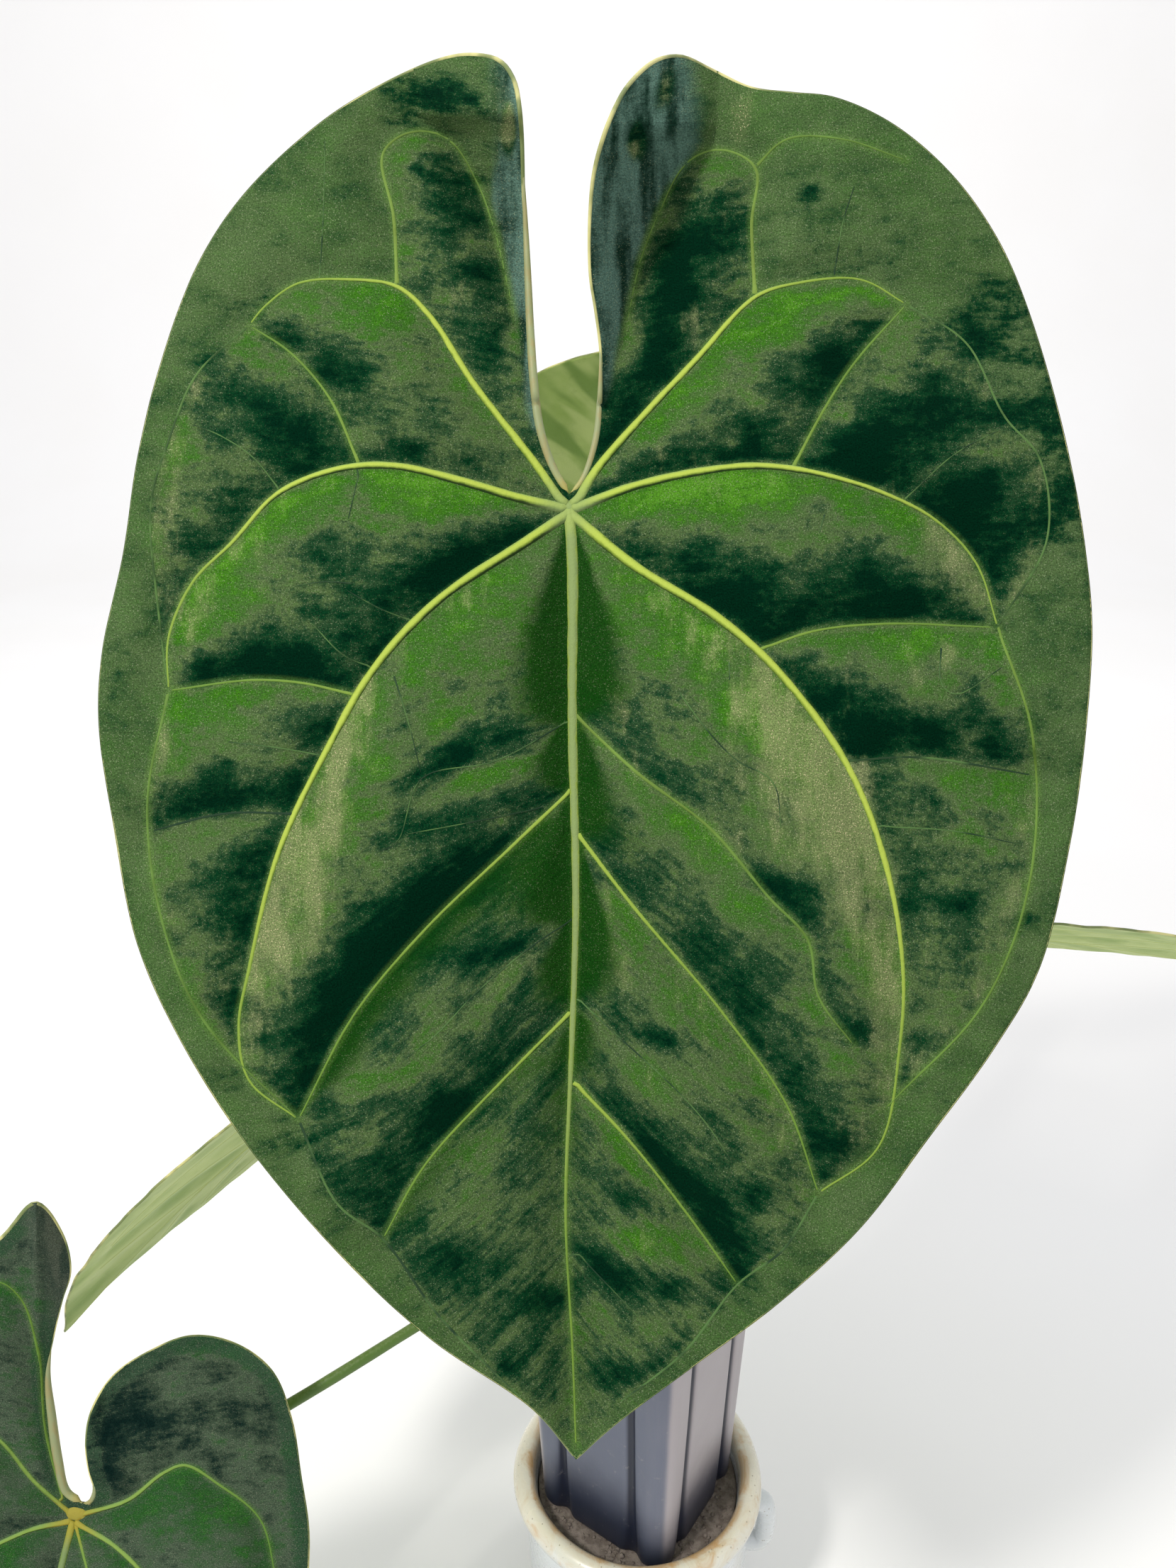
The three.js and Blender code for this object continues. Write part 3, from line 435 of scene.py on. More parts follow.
class Graph:
    """Node tree of one finish, with short calls for the nodes that the finishes share."""

    def __init__(self, name: str, **constants: object) -> None:
        """Start a material whose shader sockets get their constant values.

        Args:
            name: Name of the material.
            **constants: Socket names of the Principled shader, spaces as underscores, and their values.
        """
        self.material = bpy.data.materials.new(name)
        self.material.use_nodes = True
        self.tree = self.material.node_tree
        self.shader = self.tree.nodes["Principled BSDF"]
        for socket, value in constants.items():
            self.shader.inputs[socket.replace("_", " ")].default_value = value

    def node(self, kind: str, **inputs: object) -> bpy.types.Node:
        """Add a node, and set or link its inputs by name.

        Args:
            kind: Type name of the node, without ShaderNode.
            **inputs: Input names, spaces as underscores, with a value or a socket to link.

        Returns:
            The node.
        """
        node = self.tree.nodes.new("ShaderNode" + kind)
        for key, value in inputs.items():
            self.plug(node.inputs[key.replace("_", " ")], value)
        return node

    def plug(self, socket: Socket, value: object) -> None:
        """Link a socket to another one, or set its value.

        Args:
            socket: Input socket.
            value: A socket to link, a colour or a number.
        """
        if isinstance(value, Socket):
            self.tree.links.new(value, socket)
        elif isinstance(value, tuple) and len(value) == 3 and socket.type == "RGBA":
            socket.default_value = (*value, 1.0)
        else:
            socket.default_value = value

    def drawing(self) -> Socket:
        """Read the leaf's own drawing as coordinates."""
        source = self.node("UVMap")
        source.uv_map = "drawing"
        return source.outputs["UV"]

    def stretched(self, vector: Socket, stretch: Triple) -> Socket:
        """Scale coordinates along their axes."""
        return self.node("Mapping", Vector=vector, Scale=stretch).outputs["Vector"]

    def flow(self) -> Socket:
        """Read the leaf's drawing as coordinates, with the lie of the pile as the second one."""
        across = self.node("SeparateXYZ", Vector=self.drawing()).outputs["X"]
        return self.node("CombineXYZ", X=across, Y=self.value("flow")).outputs["Vector"]

    def centred(self, value: Socket) -> Socket:
        """Move noise between 0 and 1 to lie round zero."""
        return self.math("SUBTRACT", value, 0.5)

    def place(self, stretch: Triple = (1.0, 1.0, 1.0)) -> Socket:
        """Read object coordinates, stretched along the axes."""
        return self.stretched(self.node("TexCoord").outputs["Object"], stretch)

    def value(self, name: str) -> Socket:
        """Read a point attribute of the mesh.

        Args:
            name: Name of the attribute.

        Returns:
            Socket with its value.
        """
        node = self.node("Attribute")
        node.attribute_name = name
        return node.outputs["Fac"]

    def noise(
        self, vector: Socket, scale: float, detail: float = 3.0, rough: float = 0.55, warp: float = 0.0
    ) -> Socket:
        """Add soft noise between 0 and 1."""
        node = self.node("TexNoise", Vector=vector, Scale=scale, Detail=detail, Roughness=rough, Distortion=warp)
        return node.outputs["Fac"]

    def cells(self, vector: Socket, scale: float) -> Socket:
        """Add the distance to the middle of scattered cells."""
        return self.node("TexVoronoi", Vector=vector, Scale=scale).outputs["Distance"]

    def math(self, operation: str, *numbers: object) -> Socket:
        """Combine two or three numbers.

        Args:
            operation: Name of the operation.
            *numbers: Sockets or numbers.

        Returns:
            Socket with the result.
        """
        node = self.tree.nodes.new("ShaderNodeMath")
        node.operation = operation
        for socket, number in zip(node.inputs, numbers):
            self.plug(socket, number)
        return node.outputs[0]

    def times(self, a: object, b: object) -> Socket:
        """Multiply two numbers."""
        return self.math("MULTIPLY", a, b)

    def total(self, *terms: tuple[object, float]) -> Socket:
        """Add up sockets, each with its own factor.

        Args:
            *terms: Sockets, each with its factor.

        Returns:
            Socket with the sum.
        """
        made: object = 0.0
        for socket, factor in terms:
            made = self.math("MULTIPLY_ADD", socket, factor, made)
        return made

    def ease(self, value: object, low: float, high: float, top: float = 1.0) -> Socket:
        """Ease from 0 at low to top at high.

        Args:
            value: Socket or number to ease.
            low: Where it gives 0.
            high: Where it gives top.
            top: Highest result.

        Returns:
            Socket with the result.
        """
        node = self.node("MapRange", Value=value, From_Min=low, From_Max=high, To_Min=0.0, To_Max=top)
        node.interpolation_type = "SMOOTHSTEP"
        return node.outputs["Result"]

    def blend(self, factor: object, a: object, b: object, kind: str = "MIX") -> Socket:
        """Mix two colours.

        Args:
            factor: Share of the second colour.
            a: First colour.
            b: Second colour.
            kind: Way of mixing.

        Returns:
            Socket with the colour.
        """
        node = self.tree.nodes.new("ShaderNodeMix")
        node.data_type, node.blend_type = "RGBA", kind
        for socket, value in ((0, factor), (6, a), (7, b)):  # the numbers of its colour sockets
            self.plug(node.inputs[socket], value)
        return node.outputs[2]

    def ramp(self, factor: object, *stops: tuple[float, Colour]) -> Socket:
        """Lay colours along a factor.

        Args:
            factor: Place along the ramp.
            *stops: Places from 0 to 1, each with its colour.

        Returns:
            Socket with the colour.
        """
        node = self.node("ValToRGB", Fac=factor)
        elements = node.color_ramp.elements
        while len(elements) < len(stops):
            elements.new(0.5)
        for element, (place, colour) in zip(elements, stops):
            element.position, element.color = place, (*colour, 1.0)
        return node.outputs["Color"]

    def finish(
        self, colour: object, height: object = None, depth: float = 0.0, rough: object = None
    ) -> Material:
        """Plug colour, relief and roughness into the shader.

        Args:
            colour: Colour socket or a plain colour.
            height: Height of the relief, between 0 and 1.
            depth: Depth of the relief, in millimetres.
            rough: Roughness socket, where it varies.

        Returns:
            The material.
        """
        self.plug(self.shader.inputs["Base Color"], colour)
        if rough is not None:
            self.plug(self.shader.inputs["Roughness"], rough)
        if height is not None:
            bump = self.node("Bump", Height=height, Distance=depth * MM, Strength=1.0)
            self.plug(self.shader.inputs["Normal"], bump.outputs["Normal"])
        return self.material


# Finishes


@dataclass(frozen=True)
class Velvet:
    """Upper side of a blade: its pile goes from painted near-black shade over a dusty grey-green sheen to painted
    bright green light.
    """

    name: str
    # black, shadow, dusk, dusty, leafy, green and bright run from painted shade over the mid-tone sheen to painted
    # light on the pile; deep is painted shade beside the midrib; the golden tone, halo and glints are painted sheen and
    # glints; fold and fold_shade are painted sheen and shade on the folded strips
    black: Colour = seen(0, 36, 20)
    shadow: Colour = seen(8, 54, 28)
    dusk: Colour = seen(40, 70, 42)
    dusty: Colour = seen(80, 102, 60)
    leafy: Colour = seen(60, 102, 38)
    green: Colour = seen(56, 108, 24)
    bright: Colour = seen(78, 132, 34)
    deep: Colour = seen(16, 62, 10)
    gold_sheen: Colour = seen(134, 142, 96)
    border: Colour = seen(80, 104, 62)
    border_shade: Colour = seen(56, 86, 44)
    fold: Colour = seen(88, 118, 104)
    fold_shade: Colour = seen(20, 48, 36)
    halo: Colour = seen(108, 146, 62)
    glint: Colour = seen(166, 176, 138)
    gold_glint: Colour = seen(214, 200, 156)
    contrast: float = 0.64
    shift: float = 0.08

    def material(self) -> Material:
        """Build the velvet.

        Returns:
            The material.
        """
        g = Graph(
            self.name,
            Roughness=0.85, Specular_IOR_Level=0.02,
            Sheen_Weight=0.01, Sheen_Roughness=0.4, Sheen_Tint=(0.55, 0.88, 0.60, 1.0),
        )
        flat, flow = g.drawing(), g.flow()
        tear = g.centred(g.noise(g.stretched(flow, (0.46, 1.0, 1.0)), 12.0, 5.0, 0.55, 0.35))
        streak = g.centred(g.noise(g.stretched(flat, (5.0, 1.2, 1.0)), 4.0, 5.0, 0.62))
        wrinkle = g.centred(g.noise(g.stretched(flow, (0.25, 1.0, 1.0)), 48.0, 4.0, 0.62))
        mottle, fine = g.centred(g.noise(flat, 9.0, 4.0, 0.6)), g.centred(g.noise(flat, 55.0, 4.0, 0.7))
        broad, grain = g.noise(flat, 2.6, 2.0), g.centred(g.noise(flat, 210.0, 2.0, 0.8))
        # up and side carry painted light, shade and golden sheen worked out from the veins; shade carries ovals of
        # painted shade and light
        up, side, shade = g.value("up"), g.value("side"), g.value("shade")
        border, fold, near, gold_sheen_spots = g.value("border"), g.value("fold"), g.value("near"), g.value("gold_sheen_spots")

        # tone is the painted light (high) and painted shade (low) of the pile; the ramp turns it from near-black shade
        # to bright lit green
        calm = g.math("SUBTRACT", 1.0, g.times(border, 0.8))
        tone = g.total((g.times(up, calm), self.contrast), (shade, -0.62), (border, 0.08))
        tone = g.total((tone, 1.0), (tear, 1.25), (mottle, 1.2), (fine, 0.8), (wrinkle, 0.8))
        tone = g.math("ADD", tone, self.shift)
        colour = g.ramp(
            g.math("MULTIPLY_ADD", tone, 0.5, 0.5),
            (0.0, self.black),
            (0.17, self.black),
            (0.30, self.shadow),
            (0.43, self.dusk),
            (0.55, self.dusty),
            (0.66, self.leafy),
            (0.78, self.green),
            (0.96, self.bright),
        )
        middling = g.times(g.ease(tone, -0.35, 0.05), g.ease(tone, 0.75, 0.35))
        colour = g.blend(g.times(middling, g.ease(broad, 0.44, 0.64, 0.42)), colour, self.dusty)
        # painted golden sheen on the inner side of upright veins and in the golden ovals, strongest in the mid-tones
        golden_sheen = g.total((side, 0.74), (gold_sheen_spots, 0.9), (streak, 2.4), (mottle, 1.6), (fine, 0.8), (shade, -0.6))
        golden_sheen = g.times(g.ease(golden_sheen, 0.25, 1.35), g.ease(tone, -0.65, -0.10))
        colour = g.blend(g.times(golden_sheen, 0.7), colour, self.gold_sheen)
        shadow = g.ease(g.total((side, -1.0), (tear, 0.3), (mottle, 0.3)), 0.20, 0.58, 0.94)
        colour = g.blend(shadow, colour, self.deep)
        rim = g.times(border, g.ease(tone, -0.45, -0.05, 0.7))
        cloudy = g.ease(g.total((tear, 1.0), (mottle, 1.0), (g.centred(broad), 1.0)), -0.25, 0.25)
        colour = g.blend(rim, colour, g.blend(cloudy, self.border_shade, self.border))
        # painted sheen streaks over painted shade on the strips folded up at the cleft
        sheen = g.centred(g.noise(g.stretched(flat, (4.2, 0.55, 1.0)), 4.5, 3.0, 0.5, 0.3))
        folded = g.ease(g.total((sheen, 1.0), (mottle, 0.35), (fine, 0.3)), -0.18, 0.12)
        folded = g.blend(folded, self.fold_shade, self.fold)
        colour = g.blend(g.times(fold, g.ease(gold_sheen_spots, 0.8, 0.2)), colour, folded)
        # painted sheen of the fine hairs close to the main veins
        colour = g.blend(g.ease(near, 2.2, 0.4, 0.22), colour, self.halo)
        colour = g.blend(1.0, colour, g.math("MULTIPLY_ADD", grain, 2.8, 1.0), "MULTIPLY")
        # painted glints strewn over the pile, golden where the golden sheen is painted
        strewn = g.ease(g.noise(flat, 150.0, 1.0), 0.42, 0.60)
        dots = g.times(g.ease(g.cells(flat, 220.0), 0.38, 0.16), strewn)
        amount = g.total((g.ease(tone, -0.65, 0.0), 0.5), (golden_sheen, 0.5), (shadow, -0.3))
        colour = g.blend(g.times(dots, amount), colour, g.blend(golden_sheen, self.glint, self.gold_glint))
        relief = g.total((grain, 0.5), (g.noise(flat, 26.0, 3.0), 0.8), (wrinkle, 1.1), (fine, 0.5))
        return g.finish(colour, relief, 0.6)


@dataclass(frozen=True)
class Underside:
    """Pale matt underside of a blade, with slanting bands of painted light coming through it and painted shade between
    them.
    """

    name: str
    banding: float = 0.2
    pale: Colour = seen(188, 204, 128)
    green: Colour = seen(148, 174, 86)
    shaded: Colour = seen(108, 142, 56)

    def material(self) -> Material:
        """Build the underside.

        Returns:
            The material.
        """
        g = Graph(self.name, Roughness=0.62, Specular_IOR_Level=0.3, Sheen_Weight=0.08)
        flat = g.drawing()
        broad = g.noise(flat, 3.2, 3.0)
        cloudy = g.noise(flat, 16.0, 5.0, 0.6)
        colour = g.blend(g.ease(broad, 0.35, 0.65), self.green, self.pale)
        colour = g.blend(g.ease(cloudy, 0.55, 0.72, 0.35), colour, self.shaded)
        colour = g.blend(g.ease(g.value("near"), 9.0, 0.5, 0.85), colour, self.pale)
        # slanting bands of painted light coming through the blade, with painted shade between them
        turned = g.node("Mapping", Vector=flat, Rotation=(0.0, 0.0, math.radians(62))).outputs["Vector"]
        band = g.noise(g.stretched(turned, (0.16, 1.0, 1.0)), 5.5, 2.0)
        colour = g.blend(g.ease(band, 0.50, 0.42, self.banding), colour, self.shaded)
        colour = g.blend(g.ease(band, 0.50, 0.57, self.banding), colour, self.pale)
        return g.finish(colour, g.total((g.noise(flat, 90.0, 3.0), 0.4), (cloudy, 0.8)), 0.35)


@dataclass(frozen=True)
class ThinEdge:
    """Pale translucent-looking edge of a blade."""

    name: str
    pale: Colour = seen(214, 208, 140)
    green: Colour = seen(118, 132, 78)

    def material(self) -> Material:
        """Build the edge.

        Returns:
            The material.
        """
        g = Graph(self.name, Roughness=0.5, Specular_IOR_Level=0.3)
        cloud = g.noise(g.place(), 60.0, 3.0)
        return g.finish(g.blend(g.ease(cloud, 0.40, 0.60), self.green, self.pale), cloud, 0.1)


@dataclass(frozen=True)
class VeinCord:
    """Raised vein: bright yellow-green ridge with softer green flanks, the lower flank in shade."""

    name: str
    ridge: Colour = seen(176, 194, 78)
    pale: Colour = seen(124, 162, 104)
    flank: Colour = seen(92, 122, 34)
    shade: Colour = seen(6, 42, 12)
    thin: Colour = seen(88, 130, 50)
    dim: Colour = seen(82, 116, 62)
    sunk: Colour = seen(30, 58, 36)
    rib: Colour = seen(126, 146, 96)
    under: Colour = seen(186, 200, 126)
    hub: Colour = seen(140, 160, 100)

    def material(self) -> Material:
        """Build the cord.

        Returns:
            The material.
        """
        g = Graph(self.name, Roughness=0.65, Specular_IOR_Level=0.15, Sheen_Weight=0.05, Sheen_Roughness=0.4)
        mottle = g.centred(g.noise(g.place(), 260.0, 4.0, 0.6))
        broken = g.noise(g.place(), 70.0, 3.0, 0.6)
        height = g.total((g.value("crest"), 1.0), (mottle, 0.9))
        colour = g.blend(g.ease(height, 0.22, 0.88), self.flank, self.ridge)
        midrib = g.times(g.ease(g.value("rib"), 0.0, 1.0, 0.85), g.ease(height, 0.45, 0.85))
        colour = g.blend(midrib, colour, self.rib)
        colour = g.blend(g.ease(g.value("weight"), 0.70, 0.30, 0.85), colour, self.thin)
        # painted highlight on the flank that faces the light, and painted shade on the flank that faces away
        lit = g.total((g.value("lit"), 1.0), (mottle, 0.5))
        colour = g.blend(g.ease(lit, 0.45, 0.95, 0.5), colour, self.pale)
        colour = g.blend(g.ease(lit, -0.02, -0.36, 0.6), colour, self.flank)
        colour = g.blend(g.ease(lit, -0.28, -0.60, 0.9), colour, self.shade)
        faint = g.blend(g.ease(broken, 0.42, 0.60), self.dim, self.sunk)
        colour = g.blend(g.ease(g.value("dull"), 0.0, 1.0), colour, faint)
        colour = g.blend(g.ease(g.value("dull"), 1.0, 1.5), colour, self.sunk)
        colour = g.blend(g.ease(g.value("hub"), 14.0, 2.0, 0.7), colour, self.hub)
        colour = g.blend(g.ease(g.value("crest"), -0.05, -0.30), colour, self.under)
        return g.finish(colour, g.total((g.noise(g.place(), 900.0, 3.0), 1.0), (mottle, 0.8)), 0.22)


@dataclass(frozen=True)
class RolledEdge:
    """Bare rolled margin beside the cleft, pale grey-green and yellower at the hub."""

    name: str
    pale: Colour = seen(150, 158, 112)
    tan: Colour = seen(164, 146, 92)
    yellow: Colour = seen(184, 172, 84)

    def material(self) -> Material:
        """Build the rolled margin.

        Returns:
            The material.
        """
        g = Graph(self.name, Roughness=0.48, Specular_IOR_Level=0.35)
        streak = g.noise(g.place((1.0, 1.0, 0.2)), 420.0, 3.0)
        colour = g.blend(g.ease(streak, 0.42, 0.66, 0.6), self.pale, self.tan)
        colour = g.blend(g.ease(g.value("hub"), 12.0, 2.0, 0.8), colour, self.yellow)
        return g.finish(colour, streak, 0.12)


@dataclass(frozen=True)
class StalkSkin:
    """Satin green stalk with fine lengthwise streaks."""

    name: str
    green: Colour = seen(84, 114, 44)
    grey: Colour = seen(124, 142, 96)
    yellow: Colour = seen(128, 152, 40)

    def material(self) -> Material:
        """Build the skin.

        Returns:
            The material.
        """
        g = Graph(self.name, Roughness=0.42, Specular_IOR_Level=0.4, Coat_Weight=0.05)
        streak = g.noise(g.place((1.0, 1.0, 0.12)), 900.0, 4.0, 0.6)
        cloud = g.noise(g.place(), 45.0, 3.0)
        grey = g.ease(g.total((streak, 0.8), (g.value("crest"), 0.35)), 0.35, 0.75, 0.7)
        colour = g.blend(grey, self.green, self.grey)
        colour = g.blend(g.ease(g.total((g.value("along"), 1.0), (cloud, 0.5)), 0.90, 1.30), colour, self.yellow)
        fleck = g.ease(g.cells(g.place((1.0, 1.0, 0.4)), 700.0), 0.16, 0.05, 0.5)
        colour = g.blend(fleck, colour, self.green)
        return g.finish(colour, g.total((streak, 1.0), (cloud, 0.6)), 0.16)


@dataclass(frozen=True)
class StemBark:
    """Stem skin: olive green with brown leaf scars and dry shreds."""

    name: str
    olive: Colour = (0.130, 0.150, 0.045)
    brown: Colour = (0.110, 0.062, 0.028)
    dry: Colour = (0.330, 0.250, 0.140)

    def material(self) -> Material:
        """Build the skin.

        Returns:
            The material.
        """
        g = Graph(self.name, Roughness=0.75, Specular_IOR_Level=0.25)
        shreds = g.noise(g.place((1.0, 1.0, 0.35)), 420.0, 5.0, 0.65)
        colour = g.blend(g.ease(shreds, 0.40, 0.62), self.olive, self.brown)
        colour = g.blend(g.ease(g.noise(g.place(), 130.0, 4.0), 0.56, 0.70, 0.8), colour, self.dry)
        return g.finish(colour, shreds, 0.7)


@dataclass(frozen=True)
class Glaze:
    """Off-white glaze with fine speckle, cool cast and rust at the lip."""

    name: str
    cream: Colour = (0.700, 0.662, 0.540)
    cool: Colour = (0.640, 0.670, 0.680)
    rust: Colour = (0.520, 0.280, 0.085)
    tan: Colour = (0.56, 0.43, 0.24)
    speck: Colour = (0.250, 0.200, 0.130)

    def material(self) -> Material:
        """Build the glaze.

        Returns:
            The material.
        """
        g = Graph(self.name, Roughness=0.30, Specular_IOR_Level=0.5, Coat_Weight=0.35, Coat_Roughness=0.18)
        cloud = g.noise(g.place(), 14.0, 4.0, 0.6, 0.6)
        warm = g.total((g.value("lip"), 0.55), (g.centred(cloud), 0.9))
        colour = g.blend(g.ease(warm, -0.05, 0.45), self.cool, self.cream)
        worn = g.noise(g.place((1.0, 1.0, 2.4)), 62.0, 5.0, 0.68, 0.8)
        stain = g.times(g.ease(worn, 0.56, 0.74, 0.9), g.value("lip"))
        colour = g.blend(stain, colour, self.rust)
        halo = g.times(g.ease(worn, 0.44, 0.62, 0.35), g.value("lip"))
        colour = g.blend(halo, colour, self.tan)
        colour = g.blend(g.ease(g.total((g.value("lip"), 1.0), (worn, 0.25)), 1.13, 1.22, 0.6), colour, self.rust)
        specks = g.ease(g.cells(g.place(), 330.0), 0.16, 0.06, 0.7)
        colour = g.blend(specks, colour, self.speck)
        rough = g.ease(worn, 0.35, 0.75, 0.6)
        relief = g.total((g.noise(g.place(), 30.0, 3.0), 1.0), (g.noise(g.place(), 240.0, 2.0), 0.15))
        return g.finish(colour, relief, 0.2, g.math("ADD", g.times(rough, 0.4), 0.22))


@dataclass(frozen=True)
class ScuffedSideLitPlastic:
    """Moulded blue-grey plastic with paler streaks and corners, painted light on two sides, painted shade in grooves
    and base.
    """

    name: str
    blue: Colour = (0.108, 0.120, 0.165)
    pale: Colour = (0.350, 0.315, 0.325)
    navy_shade: Colour = (0.008, 0.012, 0.028)
    dust: Colour = (0.300, 0.285, 0.270)

    def material(self) -> Material:
        """Build the plastic.

        Returns:
            The material.
        """
        g = Graph(self.name, Roughness=0.42, Specular_IOR_Level=0.45)
        tall = g.place((1.0, 1.0, 0.10))
        streak = g.noise(tall, 160.0, 4.0, 0.6)
        cloud = g.noise(g.place(), 38.0, 4.0)
        # painted light on the two opposite sides that aspect picks out, by which way each side faces
        bare = g.math("MAXIMUM", g.ease(g.value("aspect"), 0.66, 0.97), g.ease(g.value("aspect"), -0.25, -0.75, 0.8))
        pale = g.ease(g.total((bare, 1.0), (streak, 0.35), (cloud, 0.25), (g.value("corner"), 0.12)), 0.35, 1.25)
        colour = g.blend(pale, self.blue, self.pale)
        # painted shade deep in the grooves
        colour = g.blend(g.ease(g.value("groove"), 0.06, 0.60, 0.96), colour, self.navy_shade)
        # painted shade darkening towards the base, less on the corners
        low = g.total((g.value("rise"), -1.0), (cloud, 0.12), (g.value("corner"), -0.10))
        base = g.ease(low, -0.32, -0.03, 0.92)
        colour = g.blend(base, colour, self.navy_shade)
        dusty = g.ease(g.noise(g.place(), 210.0, 5.0, 0.7), 0.60, 0.80, 0.5)
        colour = g.blend(dusty, colour, self.dust)
        scratch = g.noise(g.place((1.0, 1.0, 0.03)), 1300.0, 2.0)
        rough = g.math("ADD", g.times(cloud, 0.25), 0.30)
        return g.finish(colour, g.total((scratch, 0.4), (cloud, 0.6)), 0.10, rough)


class Ground(Enum):
    """Loose stuff in the two pots."""

    GRIT = "grit"
    BARK = "bark"
    PUMICE = "pumice"


@dataclass(frozen=True)
class LooseStuff:
    """Dull crumbly surface of grit, bark or pumice."""

    kind: Ground

    def material(self) -> Material:
        """Build the surface.

        Returns:
            The material.
        """
        low, high, pale = {
            Ground.GRIT: ((0.160, 0.130, 0.112), (0.245, 0.205, 0.180), (0.330, 0.285, 0.250)),
            Ground.BARK: ((0.040, 0.020, 0.010), (0.130, 0.070, 0.035), (0.230, 0.140, 0.080)),
            Ground.PUMICE: ((0.420, 0.400, 0.360), (0.620, 0.600, 0.560), (0.750, 0.730, 0.690)),
        }[self.kind]
        g = Graph("loose_" + self.kind.value, Roughness=0.95, Specular_IOR_Level=0.15)
        lump = g.noise(g.place(), 240.0, 3.0)
        crumb = g.noise(g.place(), 900.0, 4.0, 0.65)
        colour = g.blend(g.ease(lump, 0.40, 0.60), low, high)
        colour = g.blend(g.ease(crumb, 0.58, 0.72, 0.6), colour, pale)
        return g.finish(colour, g.total((crumb, 1.0), (lump, 0.8)), 0.5)


@dataclass(frozen=True)
class StudioFloor:
    """Pale plain floor."""

    cream: Colour = (0.90, 0.885, 0.865)
    white: Colour = (0.92, 0.91, 0.90)

    def material(self) -> Material:
        """Build the floor.

        Returns:
            The material.
        """
        g = Graph("studio_floor", Roughness=0.85, Specular_IOR_Level=0.1)
        cloud = g.noise(g.place(), 3.0, 2.0)
        return g.finish(g.blend(g.ease(cloud, 0.3, 0.7, 0.5), self.cream, self.white))


# Leaf drawings, in millimetres from the hub: u across, w from the tip towards the lobes


@dataclass(frozen=True)
class Vein:
    """Line of one vein, with its width at the start and at the end.

    The pile gets painted shade above the vein and painted light below it, by the shares above and below. On the inner
    side of an upright stretch it gets painted golden sheen by the share sheen, or painted deep-green shade where sheen
    is negative.
    """

    start: float
    end: float
    path: tuple[Pair, ...]
    valley: bool = True
    dull: float = 0.0
    above: float = 1.0
    below: float = 1.0
    sheen: float = 0.0


@dataclass(frozen=True)
class Shade:
    """Soft oval on the drawing: painted shade where depth is positive, painted light where it is negative, or painted
    golden sheen among the golden ovals.
    """

    u: float
    w: float
    long: float
    short: float
    turn: float
    depth: float = 0.8


@dataclass(frozen=True)
class Drawing:
    """Outline and veins of one blade, the midrib first.

    inner_rim is the line inside which the panels lie, shades are ovals of painted shade (or, below zero, painted
    light), the golden ovals after them are painted sheen, and folds are the half-widths of the strips folded up at
    the cleft. fade tells how soft the edge of a fold is: two places along the drawing, and the softness at each.
    """

    left: tuple[Pair, ...]
    right: tuple[Pair, ...]
    veins: tuple[Vein, ...]
    inner_rim: tuple[Pair, ...] = ()
    shades: tuple[Shade, ...] = ()
    gold_sheen_spots: tuple[Shade, ...] = ()
    folds: tuple[tuple[Pair, ...], ...] = ()
    fade: tuple[Pair, Pair] = ((94.0, 112.0), (1.0, 3.4))


def ovals(*rows: tuple[float, ...]) -> tuple[Shade, ...]:
    """Give soft ovals from rows of their numbers."""
    return tuple(Shade(*row) for row in rows)


def mirrored(line: Sequence[Pair]) -> tuple[Pair, ...]:
    """Mirror a line across the midrib, keeping its order."""
    return tuple((-u, w) for u, w in line)


def crease(*path: Pair) -> Vein:
    """Give a faint vein that doesn't sink into the sheet."""
    return Vein(0.6, 0.45, path, valley=False, dull=1.0, above=0.15, below=0.15)


# Veins that also make the ring round the panels of the front leaf
LOBE_LEFT = ((-49, 62), (-50, 82), (-53, 100), (-45, 106), (-34, 104), (-26, 92), (-21, 78), (-15, 52))
LOBE_RIGHT = ((53, 59), (52, 80), (53, 96), (43, 101), (33, 97), (25, 82), (20, 69), (16, 50))
ARM_LEFT = ((-3, 2), (-10, 12), (-27, 34), (-40, 54), (-49, 62), (-62, 64), (-77, 63), (-87, 56), (-91, 51))
ARM_RIGHT = ((3, 2), (8, 10), (21, 25), (36, 41), (53, 59), (65, 63), (83, 64), (96, 57))
FLANK_LEFT = ((-91, 51), (-106, 37), (-114, 18), (-119, 0), (-117, -30), (-114, -53))
FLANK_RIGHT = ((96, 57), (113, 46), (124, 25), (134, 13), (136, -10), (122, -35))
WAIST_LEFT = ((-114, -53), (-120, -85), (-116, -118), (-104, -147), (-77, -175))
WAIST_RIGHT = ((122, -35), (132, -66), (131, -108), (118, -142), (90, -172))
TIP_LEFT = ((-77, -175), (-66, -199), (-53, -209), (-37, -231), (-13, -255))
TIP_RIGHT = ((71, -196), (61, -212), (48, -222), (33, -241), (14, -256))

